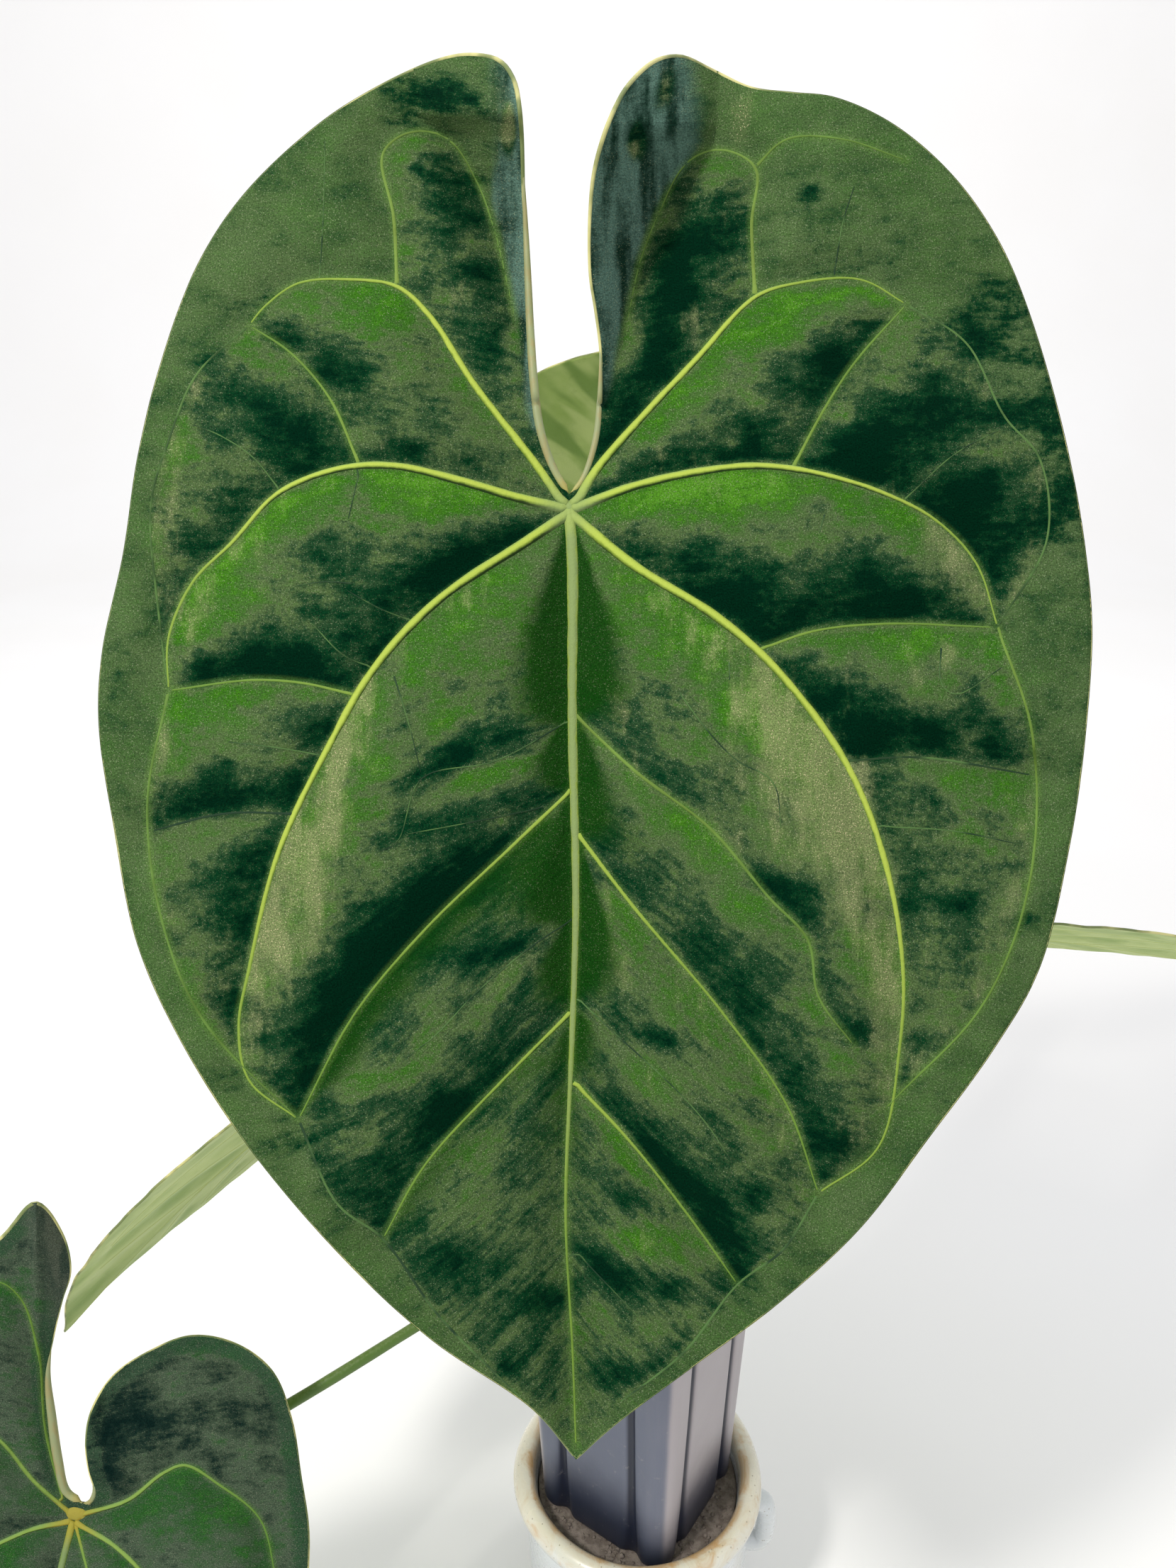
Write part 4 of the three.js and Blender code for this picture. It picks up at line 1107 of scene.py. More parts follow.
FRONT = Drawing(
    left=(
        (0, 3), (-3, 7), (-6, 13), (-9, 23), (-10.5, 35), (-11.5, 50), (-12, 62), (-13, 88), (-14, 112),
        (-16, 122), (-20, 127), (-28, 128.5), (-37, 127), (-55, 119), (-72, 108), (-93, 88), (-106, 68),
        (-117, 38), (-123, 13), (-127, -14), (-133, -42), (-134, -62), (-130, -90), (-123, -125),
        (-111, -152), (-92, -182), (-64, -215), (-39, -238), (-10, -258), (2, -272),
    ),
    right=(
        (2, -272), (12, -263), (36, -245), (59, -228), (83, -206), (102, -181), (121, -155), (134, -132),
        (143, -95), (147, -67), (149, -35), (147, -12), (142, 16), (132, 52), (123, 74), (110, 93),
        (93, 108), (76, 116), (64, 117.5), (52, 119), (41, 124), (32, 128), (25, 127), (17, 120),
        (12, 111), (7.5, 97), (6, 84), (6, 66), (7.5, 56), (9, 44), (9, 30), (8, 19), (5, 9), (2.5, 5), (0, 3),
    ),
    veins=(
        Vein(
            3.4, 1, ((0, -1), (1, -16), (1, -60), (2, -113), (1, -150), (-1, -202), (1, -240), (2, -268)),
            above=0.3, sheen=-1.0,
        ),
        Vein(3, 1.2, (
            (-1, -3), (-13, -11), (-37, -27), (-55, -46), (-69, -70), (-83, -100), (-91, -132), (-94, -149),
            (-91, -164), (-77, -175),
        ), below=0.75, sheen=1.0),
        Vein(3, 1.2, (
            (1, -3), (18, -17), (42, -32), (59, -47), (79, -74), (90, -102), (95, -132), (94, -155),
            (88, -183), (71, -196),
        ), above=0.8, below=0.8, sheen=1.0),
        Vein(3, 1.2, (
            (-2, -1), (-15, 2), (-32, 7), (-50, 11), (-66, 10), (-83, 3), (-96, -11), (-107, -22),
            (-114, -38), (-114, -53),
        ), above=0.6, sheen=0.6),
        Vein(3, 1.2, (
            (2, -1), (18, 5), (35, 9), (53, 11), (70, 9), (90, 3), (105, -5), (116, -17), (122, -35),
        ), sheen=1.0),
        Vein(2.8, 1.2, ARM_LEFT, above=0.8, below=0.9),
        Vein(2.8, 1.2, ARM_RIGHT, above=0.8),
        Vein(1.6, 1, ((1, -81), (-17, -98), (-41, -121), (-61, -145), (-77, -175)), above=1.0, below=-0.1, sheen=-0.7),
        Vein(1.6, 1, ((1, -144), (-19, -164), (-41, -188), (-53, -209)), above=0.9, below=0.0, sheen=-0.5),
        Vein(
            1.3, 1, ((2, -60), (19, -76), (40, -92), (57, -112), (68, -124), (71, -140), (81, -154)),
            valley=False, dull=0.4, above=0.65, below=0.6,
        ),
        Vein(1.6, 1, ((2, -93), (18, -114), (44, -145), (62, -171), (71, -196)), above=0.85, below=0.5, sheen=0.5),
        Vein(1.6, 1, ((2, -165), (18, -182), (36, -205), (48, -222)), above=1.1, below=0.5, sheen=0.3),
        Vein(1.5, 1, LOBE_LEFT, above=0.5, below=0.8, dull=0.45),
        Vein(1.5, 1, LOBE_RIGHT, above=0.5, below=0.9, dull=0.45),
        Vein(1.2, 1, ((53, 96), (62, 104), (78, 104), (96, 98)), valley=False, above=-0.6, below=0.3, dull=0.4),
        Vein(1.3, 1, ((-60, 12), (-68, 30), (-79, 43), (-91, 51)), above=0.3, below=0.5, dull=0.3),
        Vein(1.3, 1, ((64, 11), (72, 26), (81, 40), (96, 57)), above=0.7, below=0.5, dull=0.3),
        Vein(1.3, 1, ((-62, -54), (-75, -51), (-90, -50), (-114, -53)), above=1.1, below=0.9, dull=0.2),
        Vein(1.3, 1, ((55, -41), (70, -36), (90, -34), (121, -35)), above=1.3, below=0.9, dull=0.2),
        Vein(1, 1, ((-78, -88), (-98, -88), (-119, -93)), dull=1.5, above=0.6, below=0.6),
        Vein(1, 1, ((79, -73), (100, -72), (132, -77)), dull=0.9, above=0.6, below=0.5),
        Vein(1, 1, FLANK_LEFT, valley=False, dull=0.75, above=0.2, below=0.5, sheen=0.9),
        Vein(1.1, 1, WAIST_LEFT, valley=False, dull=0.45, above=0.1, below=0.3, sheen=0.2),
        Vein(1, 1, TIP_LEFT, valley=False, dull=0.9, above=0.7, below=0.2),
        Vein(1, 1, FLANK_RIGHT, valley=False, dull=0.8, above=0.2, below=0.5, sheen=1.0),
        Vein(1.2, 1, WAIST_RIGHT, valley=False, dull=0.35, above=0.2, below=0.4, sheen=0.6),
        Vein(1, 1, TIP_RIGHT, valley=False, dull=0.9, above=0.7, below=0.2),
        crease((-60, 8), (-63, -5)),
        crease((-61, -22.5), (-70, -22), (-79, -23.5)),
        crease((-45, -33), (-54, -29.5), (-64, -24)),
        crease((-57, -46), (-64, -43), (-74, -33)),
        crease((-70, -71.5), (-81, -69.5), (-98, -67.5)),
        crease((-83, 5), (-90, 13.5), (-100, 20), (-108, 23)),
        crease((-50, -48), (-45.5, -63), (-42, -77)),
        crease((-1, -62), (-21, -73), (-42, -78), (-49, -96), (-56, -99.5)),
        crease((-7, -86), (-31, -91), (-47, -94)),
        crease((1, -118), (-9, -124.5), (-26, -138.5), (-38, -151), (-47, -158)),
        crease((31, -53), (40, -65), (48, -73), (58, -79), (60.5, -93)),
        crease((106, -40), (106, -51), (110, -54), (124, -46)),
        crease((96, 2), (110, 14.5), (124, 22)),
        crease((73, -2), (71, -9)),
        crease((45.5, -44), (45.7, -51)),
        crease((88.5, -91.5), (109.5, -93), (129.5, -97)),
        crease((3, -141), (17, -154), (30, -166), (39, -176), (47, -188)),
        crease((3, -213.5), (20.5, -232)),
        crease((75.5, 66), (78, 80.5), (81.5, 91.5)),
        crease((-71, 65), (-70, 81), (-69.5, 105)),
    ),
    inner_rim=(
        (0, 3), *LOBE_LEFT[::-1], *ARM_LEFT[5:], *FLANK_LEFT[1:], *WAIST_LEFT[1:], *TIP_LEFT[1:], (2, -268),
        *TIP_RIGHT[::-1], *WAIST_RIGHT[::-1], *FLANK_RIGHT[4::-1], *ARM_RIGHT[6:3:-1], *LOBE_RIGHT[1:], (0, 3),
    ),
    # ovals of painted shade, and of painted light where the depth is negative
    shades=ovals(
        (-30, 86, 11, 8, 60), (-41, 97, 6, 5, 0), (-25, 67, 5, 3, 0), (-22, 46, 5, 8, 10), (-80, 50, 12, 6, -20),
        (-66, 39, 8, 5, -20), (-95, 32, 15, 9, -40), (-77, 19, 11, 9, -30), (-71, -13, 8, 6, 0),
        (-28, -13, 24, 6, 28, 0.5), (-55, -22, 13, 8, 20, 0.5), (-84, -44, 24, 6, 4, 0.6), (-102, -80, 14, 7, 18),
        (-101, -106, 13, 5, 15, 0.6), (-26, -67, 12, 4, 15), (-37, -75, 10, 4, 15, 0.6),
        (-30, -107, 18, 7, 15, 0.7), (-55, -127, 25, 10, 42), (40, 77, 7, 6, 0), (46, 85, 6, 4, 0, 0.4),
        (24, 45, 5, 24, -22), (73, 42, 12, 8, 30), (106, 32, 16, 11, 0), (90, 18, 20, 8, 15), (117, 2, 13, 10, -20),
        (119, 52, 15, 7, 15), (131, 34, 9, 20, 15, 0.5), (69, 89, 4, 4, 0, 0.9), (62, 75, 10, 7, 0, 0.4),
        (83, 70, 8, 4, 0, 0.4), (95, -18, 20, 11, -10), (46, -22, 16, 9, -30), (95, -64, 17, 6, 0),
        (120, -64, 9, 5, -20), (77, -55, 9, 3, 10), (61, -110, 7, 4, -30, 0.4), (60, -136, 9, 22, 35, 0.4),
        (110, -113, 10, 4, 0, 0.6), (26, -152, 7, 3, -10, 0.9), (15, -196, 11, 4.5, -40, 0.9),
        (30, -222, 18, 5, -8), (9, -215, 9, 4, -45), (38, -186, 10, 14, 40, 0.2), (78, -172, 9, 8, 0, 0.3),
        (52, -200, 16, 10, 20, 0.6), (-16, -188, 13, 3.5, 40, 0.4), (-20, -127, 10, 4, 10, 0.9),
        (-37, -176, 16, 5, 35, 0.6), (-68, -184, 12, 8, -50), (-36, -218, 14, 7, -35, 0.7), (-10, -227, 12, 4, 22),
        (14, -248, 13, 4, 5, 0.6), (-14, -243, 12, 4, 20, 0.5), (-38, 117, 5, 4, 0, 0.7), (-29, 116, 4, 3.5, 0),
        (26, 105, 10, 14, 20, 0.6), (24, -165, 9, 6, -35, -0.6), (20, -212, 8, 5, -30, -0.8),
        (38, 5, 18, 6, 8, -0.5), (-35, 0, 20, 6, 5, -0.3), (-22, -77, 10, 3, 5, -0.5), (46, -96, 12, 4, -40, -0.5),
        (60, 112, 9, 4, 0, -0.4), (50, 116, 4, 8, 0, -0.5), (46, -50, 24, 6, -45, -0.6),
        (56, -74, 14, 7, -60, -0.5), (-35, 114, 15, 9, 0, 0.45), (-38, -92, 14, 4, 15, 0.7),
        (-84, -150, 9, 12, 0, 0.6), (-26, -214, 12, 5, -20, 0.5), (-104, -138, 9, 12, 0, -0.5),
        (100, -132, 10, 10, 0, -0.4), (141, 5, 7, 28, 0, 0.7), (29, 72, 6, 16, -15, 0.9),
    ),
    # ovals of painted golden sheen
    gold_sheen_spots=ovals(
        (-67, -85, 28, 4, 79), (81, -77, 25, 5, -85), (107, -13, 11, 3.5, -58), (-116, -71, 9, 2.5, 85),
        (-27, 106, 5, 4, 0), (-17, 107, 7, 2, 90, 1.2), (19, 104, 5, 2.5, 90, 1.2), (27, 118, 7, 3, 70),
        (-31, 64, 14, 2.5, 80, 0.7), (32, 56, 6, 5, 0), (46, 81, 5, 4, 0, 0.7), (50, 108, 3, 7, 0),
        (65, -80, 30, 12, -70), (14, -57, 14, 4, -80), (-7, -97, 18, 4, 75, 0.9), (-12, -129, 12, 5, 45, 0.6),
        (-84, -120, 20, 5, 80), (10, -120, 20, 4, -75), (104, -46, 7, 3, 30),
    ),
    folds=(
        ((0, 12), (11, 22), (13, 28), (15, 50), (17, 63), (20, 78), (22.3, 87), (21.4, 100), (21.8, 111), (23, 130)),
        ((0, 12), (11, 30), (16, 53), (19, 69), (23, 80), (26.5, 88), (33.7, 96), (38, 104), (38, 112), (36, 130)),
    ),
)
LOBE_FOLD_LEFT: tuple[Pair, ...] = ((11, 30), (15, 52), (21, 78), (27, 93), (35, 105), (44, 112))
LOBE_FOLD_RIGHT: tuple[Pair, ...] = ((11, 30), (16, 50), (20, 69), (25, 82), (33, 97), (42, 108))

PLAIN_RIGHT: tuple[Pair, ...] = (
    (0, -272), (12, -262), (36, -245), (68, -219), (100, -184), (126, -144), (142, -90), (147, -36),
    (142, 12), (126, 62), (100, 100), (66, 121), (36, 126), (18, 112), (11, 84), (9, 50), (7, 22),
    (3, 8), (0, 3),
)
PLAIN_SIDE_VEINS = (
    Vein(3, 1.2, ((1, -3), (18, -17), (42, -32), (60, -48), (79, -74), (91, -110), (93, -150), (80, -186))),
    Vein(3, 1.2, ((2, -1), (30, 8), (58, 11), (86, 4), (108, -14), (119, -44))),
    Vein(2.8, 1.2, ((3, 2), (21, 25), (40, 50), (60, 62), (85, 60), (104, 40))),
    Vein(1.6, 1, ((1, -85), (28, -115), (56, -150), (76, -188))),
    Vein(1.6, 1, ((1, -148), (22, -176), (50, -212))),
)
PLAIN = Drawing(
    left=mirrored(PLAIN_RIGHT)[::-1],
    right=PLAIN_RIGHT,
    veins=(
        Vein(3.4, 1, ((0, -1), (0, -60), (0, -130), (0, -200), (0, -266))),
        *PLAIN_SIDE_VEINS,
        *(replace(v, path=mirrored(v.path)) for v in PLAIN_SIDE_VEINS),
    ),
)

LOW = Drawing(
    folds=(((-6, 12), (-5, 30), (3, 60), (14, 90), (20, 118)),),
    fade=((40.0, 90.0), (1.0, 5.0)),
    left=(
        (3, 6), (-3, 10), (-6, 22), (-8, 38), (-9, 54), (-6, 70), (-3, 82), (0, 92), (-3, 106), (-12, 117),
        (-25, 104), (-48, 90), (-76, 62), (-97, 20), (-102, -25), (-92, -72), (-66, -118), (-31, -153),
    ),
    right=(
        (-31, -153), (5, -138), (42, -112), (68, -78), (82, -42), (86, -8), (83, 17), (80, 37), (73, 55),
        (60, 65), (44, 68), (28, 62), (15, 53), (7, 40), (5, 28), (6, 18), (8, 10), (6, 6), (3, 6),
    ),
    veins=(
        Vein(2.6, 1, ((0, 0), (-5, -19), (-14, -60), (-22, -105), (-30, -148))),
        Vein(2.2, 1, ((4, 2), (20, 7), (33, 17), (41, 20), (53, 13), (68, 0), (74, -24))),
        Vein(2.2, 1, ((2, -2), (16, -11), (34, -32), (48, -62), (50, -95))),
        Vein(1.6, 1, ((1, -3), (6, -24), (14, -58), (20, -96))),
        Vein(2.2, 1, ((-2, -1), (-18, -5), (-46, -22), (-66, -56), (-70, -92))),
        Vein(2.2, 1, ((-2, 3), (-14, 14), (-26, 29), (-46, 44), (-68, 40), (-84, 14))),
        Vein(1.4, 1, ((-4, 8), (-10, 34), (-12, 62), (-18, 82), (-27, 88), (-46, 70))),
    ),
    # ovals of painted shade, and of painted light where the depth is negative
    shades=ovals(
        (14, 36, 9, 24, -20, 0.9), (30, 33, 9, 5, 0, 0.7), (-3, 45, 6, 26, 0, 0.5), (60, -30, 14, 9, 0, 0.5),
        (66, 40, 12, 8, -40, 0.3),
    ),
)


@dataclass(frozen=True)
class Place:
    """Where the flat of a drawing lies: its hub, the way its lobes point and the way its upper side looks.

    Where seen is set, points stand off the flat along the line of sight, so that the drawing keeps its outline.
    """

    hub: Triple
    up: Triple
    face: Triple
    seen: bool = False
    length: float = LEAF_LENGTH
    twist: float = 0.0

    def axes(self) -> tuple[Array, Array, Array]:
        """Work out the flat's own axes.

        Returns:
            The unit vectors across, along and square to the flat.
        """
        up = unit(np.asarray(self.up, float))
        face = np.asarray(self.face, float)
        face = unit(face - up * face.dot(up))
        return np.cross(up, face), up, face

    def lay(self, u: Array, w: Array, off: Array) -> Array:
        """Place points of the drawing in space.

        Args:
            u: Places across.
            w: Places along.
            off: How far each point stands off the flat.

        Returns:
            Points in space.
        """
        across, up, face = self.axes()
        hub = np.asarray(self.hub, float)
        if self.seen:
            flat = hub + u[..., None] * across + w[..., None] * up
            sight = np.asarray(EYE) - flat
            return flat + sight * (off / (sight @ face))[..., None]
        turn = np.radians(self.twist) * np.clip(-w / self.length, 0.0, 1.0)
        rise = off + u * np.sin(turn)
        return hub + (u * np.cos(turn))[..., None] * across + w[..., None] * up + rise[..., None] * face


def fold_edge(u: Array, w: Array) -> Array:
    """Half-width of the folded strip beside the front leaf's cleft.

    Args:
        u: Places across.
        w: Places along.

    Returns:
        Half-width for each point.
    """
    wide = []
    for line in (LOBE_FOLD_LEFT, LOBE_FOLD_RIGHT):
        edge = np.asarray(line)
        wide.append(np.interp(w, edge[:, 1], edge[:, 0], left=0.0))
    return np.where(u < 0, wide[0], wide[1])


def front_stand_off(u: Array, w: Array) -> Array:
    """Arch along the front blade, wings beside its midrib, folds at its cleft and a rippled margin.

    Args:
        u: Places across.
        w: Places along.

    Returns:
        Height of each point over the flat.
    """
    t = np.clip(-w / LEAF_LENGTH, 0.0, 1.0)
    arch = np.where(w < 0, 14 * np.sin(math.pi * t), -0.16 * w - 0.00035 * w * w)
    wings = 8 * np.sin(math.pi * np.minimum(150.0, np.abs(u)) / 110) * (1 - 0.6 * t)
    fold = 1.25 * np.maximum(0.0, fold_edge(u, w) - np.abs(u))
    ripple = 1.4 * np.sin(w / 11) * np.clip((np.abs(u) - 95) / 40, 0.0, 1.0)
    return arch + wings + fold + ripple


def plain_stand_off(droop: float, cup: float) -> Callable[[Array, Array], Array]:
    """Give the arch and cup of a side or rear blade.

    Args:
        droop: Height of the arch from hub to tip.
        cup: Height of the wings.

    Returns:
        Function that gives the height of points over the flat.
    """

    def off(u: Array, w: Array) -> Array:
        """Height over the flat.

        Args:
            u: Places across.
            w: Places along.

        Returns:
            Height of each point over the flat.
        """
        t = np.clip(-w / LEAF_LENGTH, 0.0, 1.0)
        arch = np.where(w < 0, droop * np.sin(math.pi * t), -math.pi * droop * w / LEAF_LENGTH)
        return arch + cup * np.sin(math.pi * np.minimum(150.0, np.abs(u)) / 120)

    return off


def low_stand_off(u: Array, w: Array) -> Array:
    """Raised left lobe, drooping tip and cup of the low blade.

    Args:
        u: Places across.
        w: Places along.

    Returns:
        Height of each point over the flat.
    """
    raised = 34 * np.clip(w / 118, 0.0, 1.0) * np.clip((12 - u) / 24, 0.0, 1.0)
    droop = np.where(w < 0, 10 * np.sin(math.pi * np.clip(-w / 155, 0.0, 1.0)), -0.12 * w * np.clip(u / 20, 0.0, 1.0))
    return raised + droop + 4 * np.sin(math.pi * np.minimum(100.0, np.abs(u)) / 80)


@dataclass(frozen=True)
class Pile:
    """How the painted light and shade of the pile follow the veins, lit from one slanting direction."""

    light_outward: float = 0.42  # outward share of the direction that the painted light comes from
    lift: float = 0.92  # share of that direction towards the lobes
    gain: float = 1.25
    clear: float = 2.6  # half-width of the even strip at a vein, in millimetres
    near: float = 5.0  # squared distance below which a vein's pull stays even
    falloff: float = 1.1
    sweep: float = 58.0  # how far from the midrib the strokes still bend, in millimetres

    def stroke(self, u: Array, w: Array) -> Array:
        """Number the strokes of the pile: outwards they run towards the tip, and near the lobes the other way."""
        bend = np.interp(w, (-160, -30, 40), (1.05, 0.0, -0.25))
        return (w + bend * self.sweep * np.tanh(np.abs(u) / self.sweep)) / DRAWING_UNIT


@dataclass(frozen=True)
class Cord:
    """Shares that shape a raised vein along its length."""

    taper: float = 1.25  # above 1, it gets to its end width before its end
    main: float = 2.5  # start width over which a vein is a main one, in millimetres
    swell: float = 1.12  # of a main vein
    wander: float = 0.10
    flare: float = 0.5  # at the root of a side vein
    flare_steps: float = 2.2
    point: float = 0.35  # how much it narrows at its end
    rise: float = 0.42  # height over the middle of the blade, as a share of its width
    least_rise: float = 0.72  # the same as a share of the blade's thickness


PILE = Pile()
CORD = Cord()


@dataclass
class Leaf:
    """One leaf: its blade, veins, edge and stalk. Sizes of the drawing are multiplied by scale."""

    name: str
    drawing: Drawing
    place: Place
    stand_off: Callable[[Array, Array], Array]
    route: Sequence[Triple]
    stalk_radius: float
    hub_spot: Pair = (0.0, -4.0)
    hub_rib: float = 1.5
    scale: float = 1.0
    slim: float = 1.0
    bulge: float = 4.4
    panel_reach: float = 9.0
    thickness: float = 0.8
    rugged: float = 0.45
    lobe_rows: int = 90
    body_rows: int = 182
    columns: int = 86
    border_width: float = 9.0
    edge_inset: float = 0.25
    joint_reach: float = 5.0
    rolled: tuple[Pair, ...] = ()
    hub_radii: Triple = (3.0, 2.4, 1.35)
    velvet: Velvet = Velvet("leaf_velvet")
    underside: Underside = Underside("leaf_underside")
    cords: VeinCord = VeinCord("vein_cord")
    edge: ThinEdge = ThinEdge("thin_edge")
    bare: RolledEdge = RolledEdge("rolled_margin")
    skin: StalkSkin = StalkSkin("stalk_skin")

    def __post_init__(self) -> None:
        """Smooth the veins and the outline of the drawing once."""
        self.size = np.array([self.scale * self.slim, self.scale])
        self.lines = [self.smooth(vein.path, 3.0) for vein in self.drawing.veins]
        self.outline = np.vstack([self.smooth(self.drawing.left, 2.0), self.smooth(self.drawing.right, 2.0)[1:]])

    def smooth(self, line: Sequence[Pair], spacing: float) -> Array:
        """Smooth a line of the drawing at the leaf's own size."""
        return smooth_line(np.asarray(line) * self.size, spacing)

    def rim(self, side: int, spacing: float) -> Array:
        """Outline of the left (-1) or right (1) half, smoothed, from the hub round to the tip."""
        return self.smooth(self.drawing.left if side < 0 else self.drawing.right[::-1], spacing)

    def sheet(self, u: Array, w: Array, valley: Array | None = None) -> Array:
        """Middle of the blade in space.

        Args:
            u: Places across the drawing, at the leaf's own size.
            w: Places along the drawing.
            valley: Distance to the nearest sunken vein, where it is known.

        Returns:
            Points in space.
        """
        if valley is None:
            valley = np.full(u.shape, np.inf)
            for vein, line in zip(self.drawing.veins, self.lines):
                if vein.valley:
                    valley = np.minimum(valley, nearest_on(line, u, w)[0])
        pillow = 1.0 - np.exp(-((valley / self.panel_reach) ** 2))
        rough = Lattice(3, 17.0, 9.0).at(u, w) + 0.6 * Lattice(4, 7.0, 5.0).at(u, w)
        free = 1.0 - np.exp(-((valley / 6.0) ** 2))
        off = self.stand_off(u / self.scale, w / self.scale) + self.bulge * pillow + self.rugged * rough * free
        return self.place.lay(u, w, off)

    def face_at(self, u: Array, w: Array) -> Array:
        """Unit vector square to the blade's upper side.

        Args:
            u: Places across.
            w: Places along.

        Returns:
            One unit vector for each point.
        """
        step = 2.0
        across = self.sheet(u + step, w) - self.sheet(u - step, w)
        along = self.sheet(u, w + step) - self.sheet(u, w - step)
        return unit(np.cross(across, along))

    def half(self, side: int) -> Patch:
        """Lay one half of the blade between its margin and its midrib.

        Args:
            side: -1 for the left half, 1 for the right half.

        Returns:
            The patch, from the top of the lobe to the tip.
        """
        rim = self.rim(side, 0.5)
        peak = int(np.argmax(rim[:, 1]))
        margin, cleft = rim[peak:], rim[: peak + 1][::-1]
        midrib = smooth_line([rim[0], *(np.asarray(self.drawing.veins[0].path) * self.size), rim[-1]], 0.5)
        inner = np.vstack([spaced(cleft, self.lobe_rows + 1), spaced(midrib, self.body_rows + 1)[1:]])
        inner[self.lobe_rows] = rim[0]
        cut = int(LOBE_SHARE * len(margin))
        outer = np.vstack([spaced(margin[: cut + 1], self.lobe_rows + 1), spaced(margin[cut:], self.body_rows + 1)[1:]])
        t = np.linspace(0.0, 1.0, self.columns + 1)[None, :, None]
        flat = inner[:, None, :] * (1 - t) + outer[:, None, :] * t
        if side > 0:
            flat = flat[:, ::-1]
        return self.dressed(flat)

    def dressed(self, flat: Array) -> Patch:
        """Lift a patch of the drawing into space, with the values that its velvet reads.

        Args:
            flat: Points of the drawing, with the shape (rows, columns, 2).

        Returns:
            The patch.
        """
        u, w = flat[..., 0].ravel(), flat[..., 1].ravel()
        # up gathers painted light (positive) and painted shade (negative) from how the pile beside each vein faces the
        # light; side gathers painted golden sheen (positive) and painted deep shade (negative)
        total, up, side = np.zeros_like(u), np.zeros_like(u), np.zeros_like(u)
        valley, near = np.full(u.shape, np.inf), np.full(u.shape, np.inf)
        outward = np.clip(u / 8.0, -1.0, 1.0)
        light_outward = PILE.light_outward * outward * np.where(u > 0, 1.0 - smoothstep(w, -50.0, 15.0), 1.0)
        for vein, line in zip(self.drawing.veins, self.lines):
            distance, nu, nw = nearest_on(line, u, w)
            if vein.valley:
                valley = np.minimum(valley, distance)
            if vein.dull < 0.5:
                near = np.minimum(near, distance)
            weight = vein.start / (distance**2 + PILE.near) ** PILE.falloff
            slope = np.clip(PILE.gain * (PILE.lift * nw + light_outward * nu), -1.0, 1.0)
            slope = slope * smoothstep(distance, 0.0, PILE.clear)
            total += weight
            up -= weight * np.where(slope > 0, vein.above, vein.below) * slope
            if vein is self.drawing.veins[0]:
                inner = np.interp(w / self.scale, (-190.0, -110.0), (0.3, 1.0))
            else:
                inner = np.maximum(0.0, -nu * outward)
            side += weight * vein.sheen * inner
        fold = self.fold_at(u, w)
        shape = flat.shape[:2]
        values = {
            "up": up / total,
            "side": side / total,
            "shade": self.spots(self.drawing.shades, u, w),
            "gold_sheen_spots": self.spots(self.drawing.gold_sheen_spots, u, w),
            "border": self.border_at(u, w) * (1 - fold),
            "fold": fold,
            "near": near,
            "flow": PILE.stroke(u, w),
        }
        return Patch(
            self.sheet(u, w, valley).reshape(*shape, 3),
            {key: value.reshape(shape) for key, value in values.items()},
            flat,
        )

    def spots(self, places: Sequence[Shade], u: Array, w: Array) -> Array:
        """Add up soft oval spots at points of the drawing.

        Args:
            places: The spots.
            u: Places across.
            w: Places along.

        Returns:
            Sum for each point.
        """
        made = np.zeros_like(u)
        for spot in places:
            along, over = turned(u - spot.u * self.scale, w - spot.w * self.scale, -math.radians(spot.turn))
            made += spot.depth * np.exp(-0.7 * ((along / spot.long) ** 2 + (over / spot.short) ** 2))
        return made

    def border_at(self, u: Array, w: Array) -> Array:
        """Tell how far points lie in the smooth zone along the margin, from 0 to 1.

        Args:
            u: Places across.
            w: Places along.

        Returns:
            Share for each point.
        """
        if not self.drawing.inner_rim:
            rim_distance = nearest_on(self.outline, u, w)[0]
            return 1.0 - smoothstep(rim_distance, self.border_width * 0.75, self.border_width * 1.15)
        loop = np.asarray(self.drawing.inner_rim) * self.size
        crossings = np.zeros(u.shape, int)
        for (u0, w0), (u1, w1) in zip(loop, loop[1:]):
            if w0 != w1:
                at = u0 + (w - w0) * (u1 - u0) / (w1 - w0)
                crossings += ((w0 <= w) != (w1 <= w)) & (at > u)
        distance = nearest_on(loop, u, w)[0] * np.where(crossings % 2 == 1, 1.0, -1.0)
        return 1.0 - smoothstep(distance, -2.5, 2.5)

    def fold_at(self, u: Array, w: Array) -> Array:
        """Tell how far points lie on a strip that folds up at the cleft, from 0 to 1.

        Args:
            u: Places across.
            w: Places along.

        Returns:
            Share for each point.
        """
        made = np.zeros_like(u)
        for side, line in zip((-1.0, 1.0), self.drawing.folds):
            edge = np.asarray(line)
            half = np.interp(w, edge[:, 1], edge[:, 0], left=0.0)
            soft = np.interp(w, *self.drawing.fade)
            made += smoothstep((half - side * u) / soft, -0.6, 2.2) * (side * u > 0) * (w > edge[0, 1])
        return made

    def build_blade(self) -> None:
        """Make the blade: one sheet of both halves, thickened to its two sides and its edge."""
        mesh = mesh_from_patches(self.name + "_velvet", [self.half(-1), self.half(1)], closed=False)
        piece = new_object(mesh, self.velvet, self.underside, self.edge)
        wall = piece.modifiers.new("thickness", "SOLIDIFY")
        wall.thickness = self.thickness * MM
        wall.offset = 0.0
        wall.material_offset = 1
        wall.material_offset_rim = 2
        declare(piece, [self.name + "_blade"])

    def build(self) -> None:
        """Make all the pieces of the leaf."""
        self.build_blade()
        self.build_veins()
        self.build_edge()
        if self.rolled:
            self.build_rolled_margins()
        self.build_hub()
        self.build_stalk()

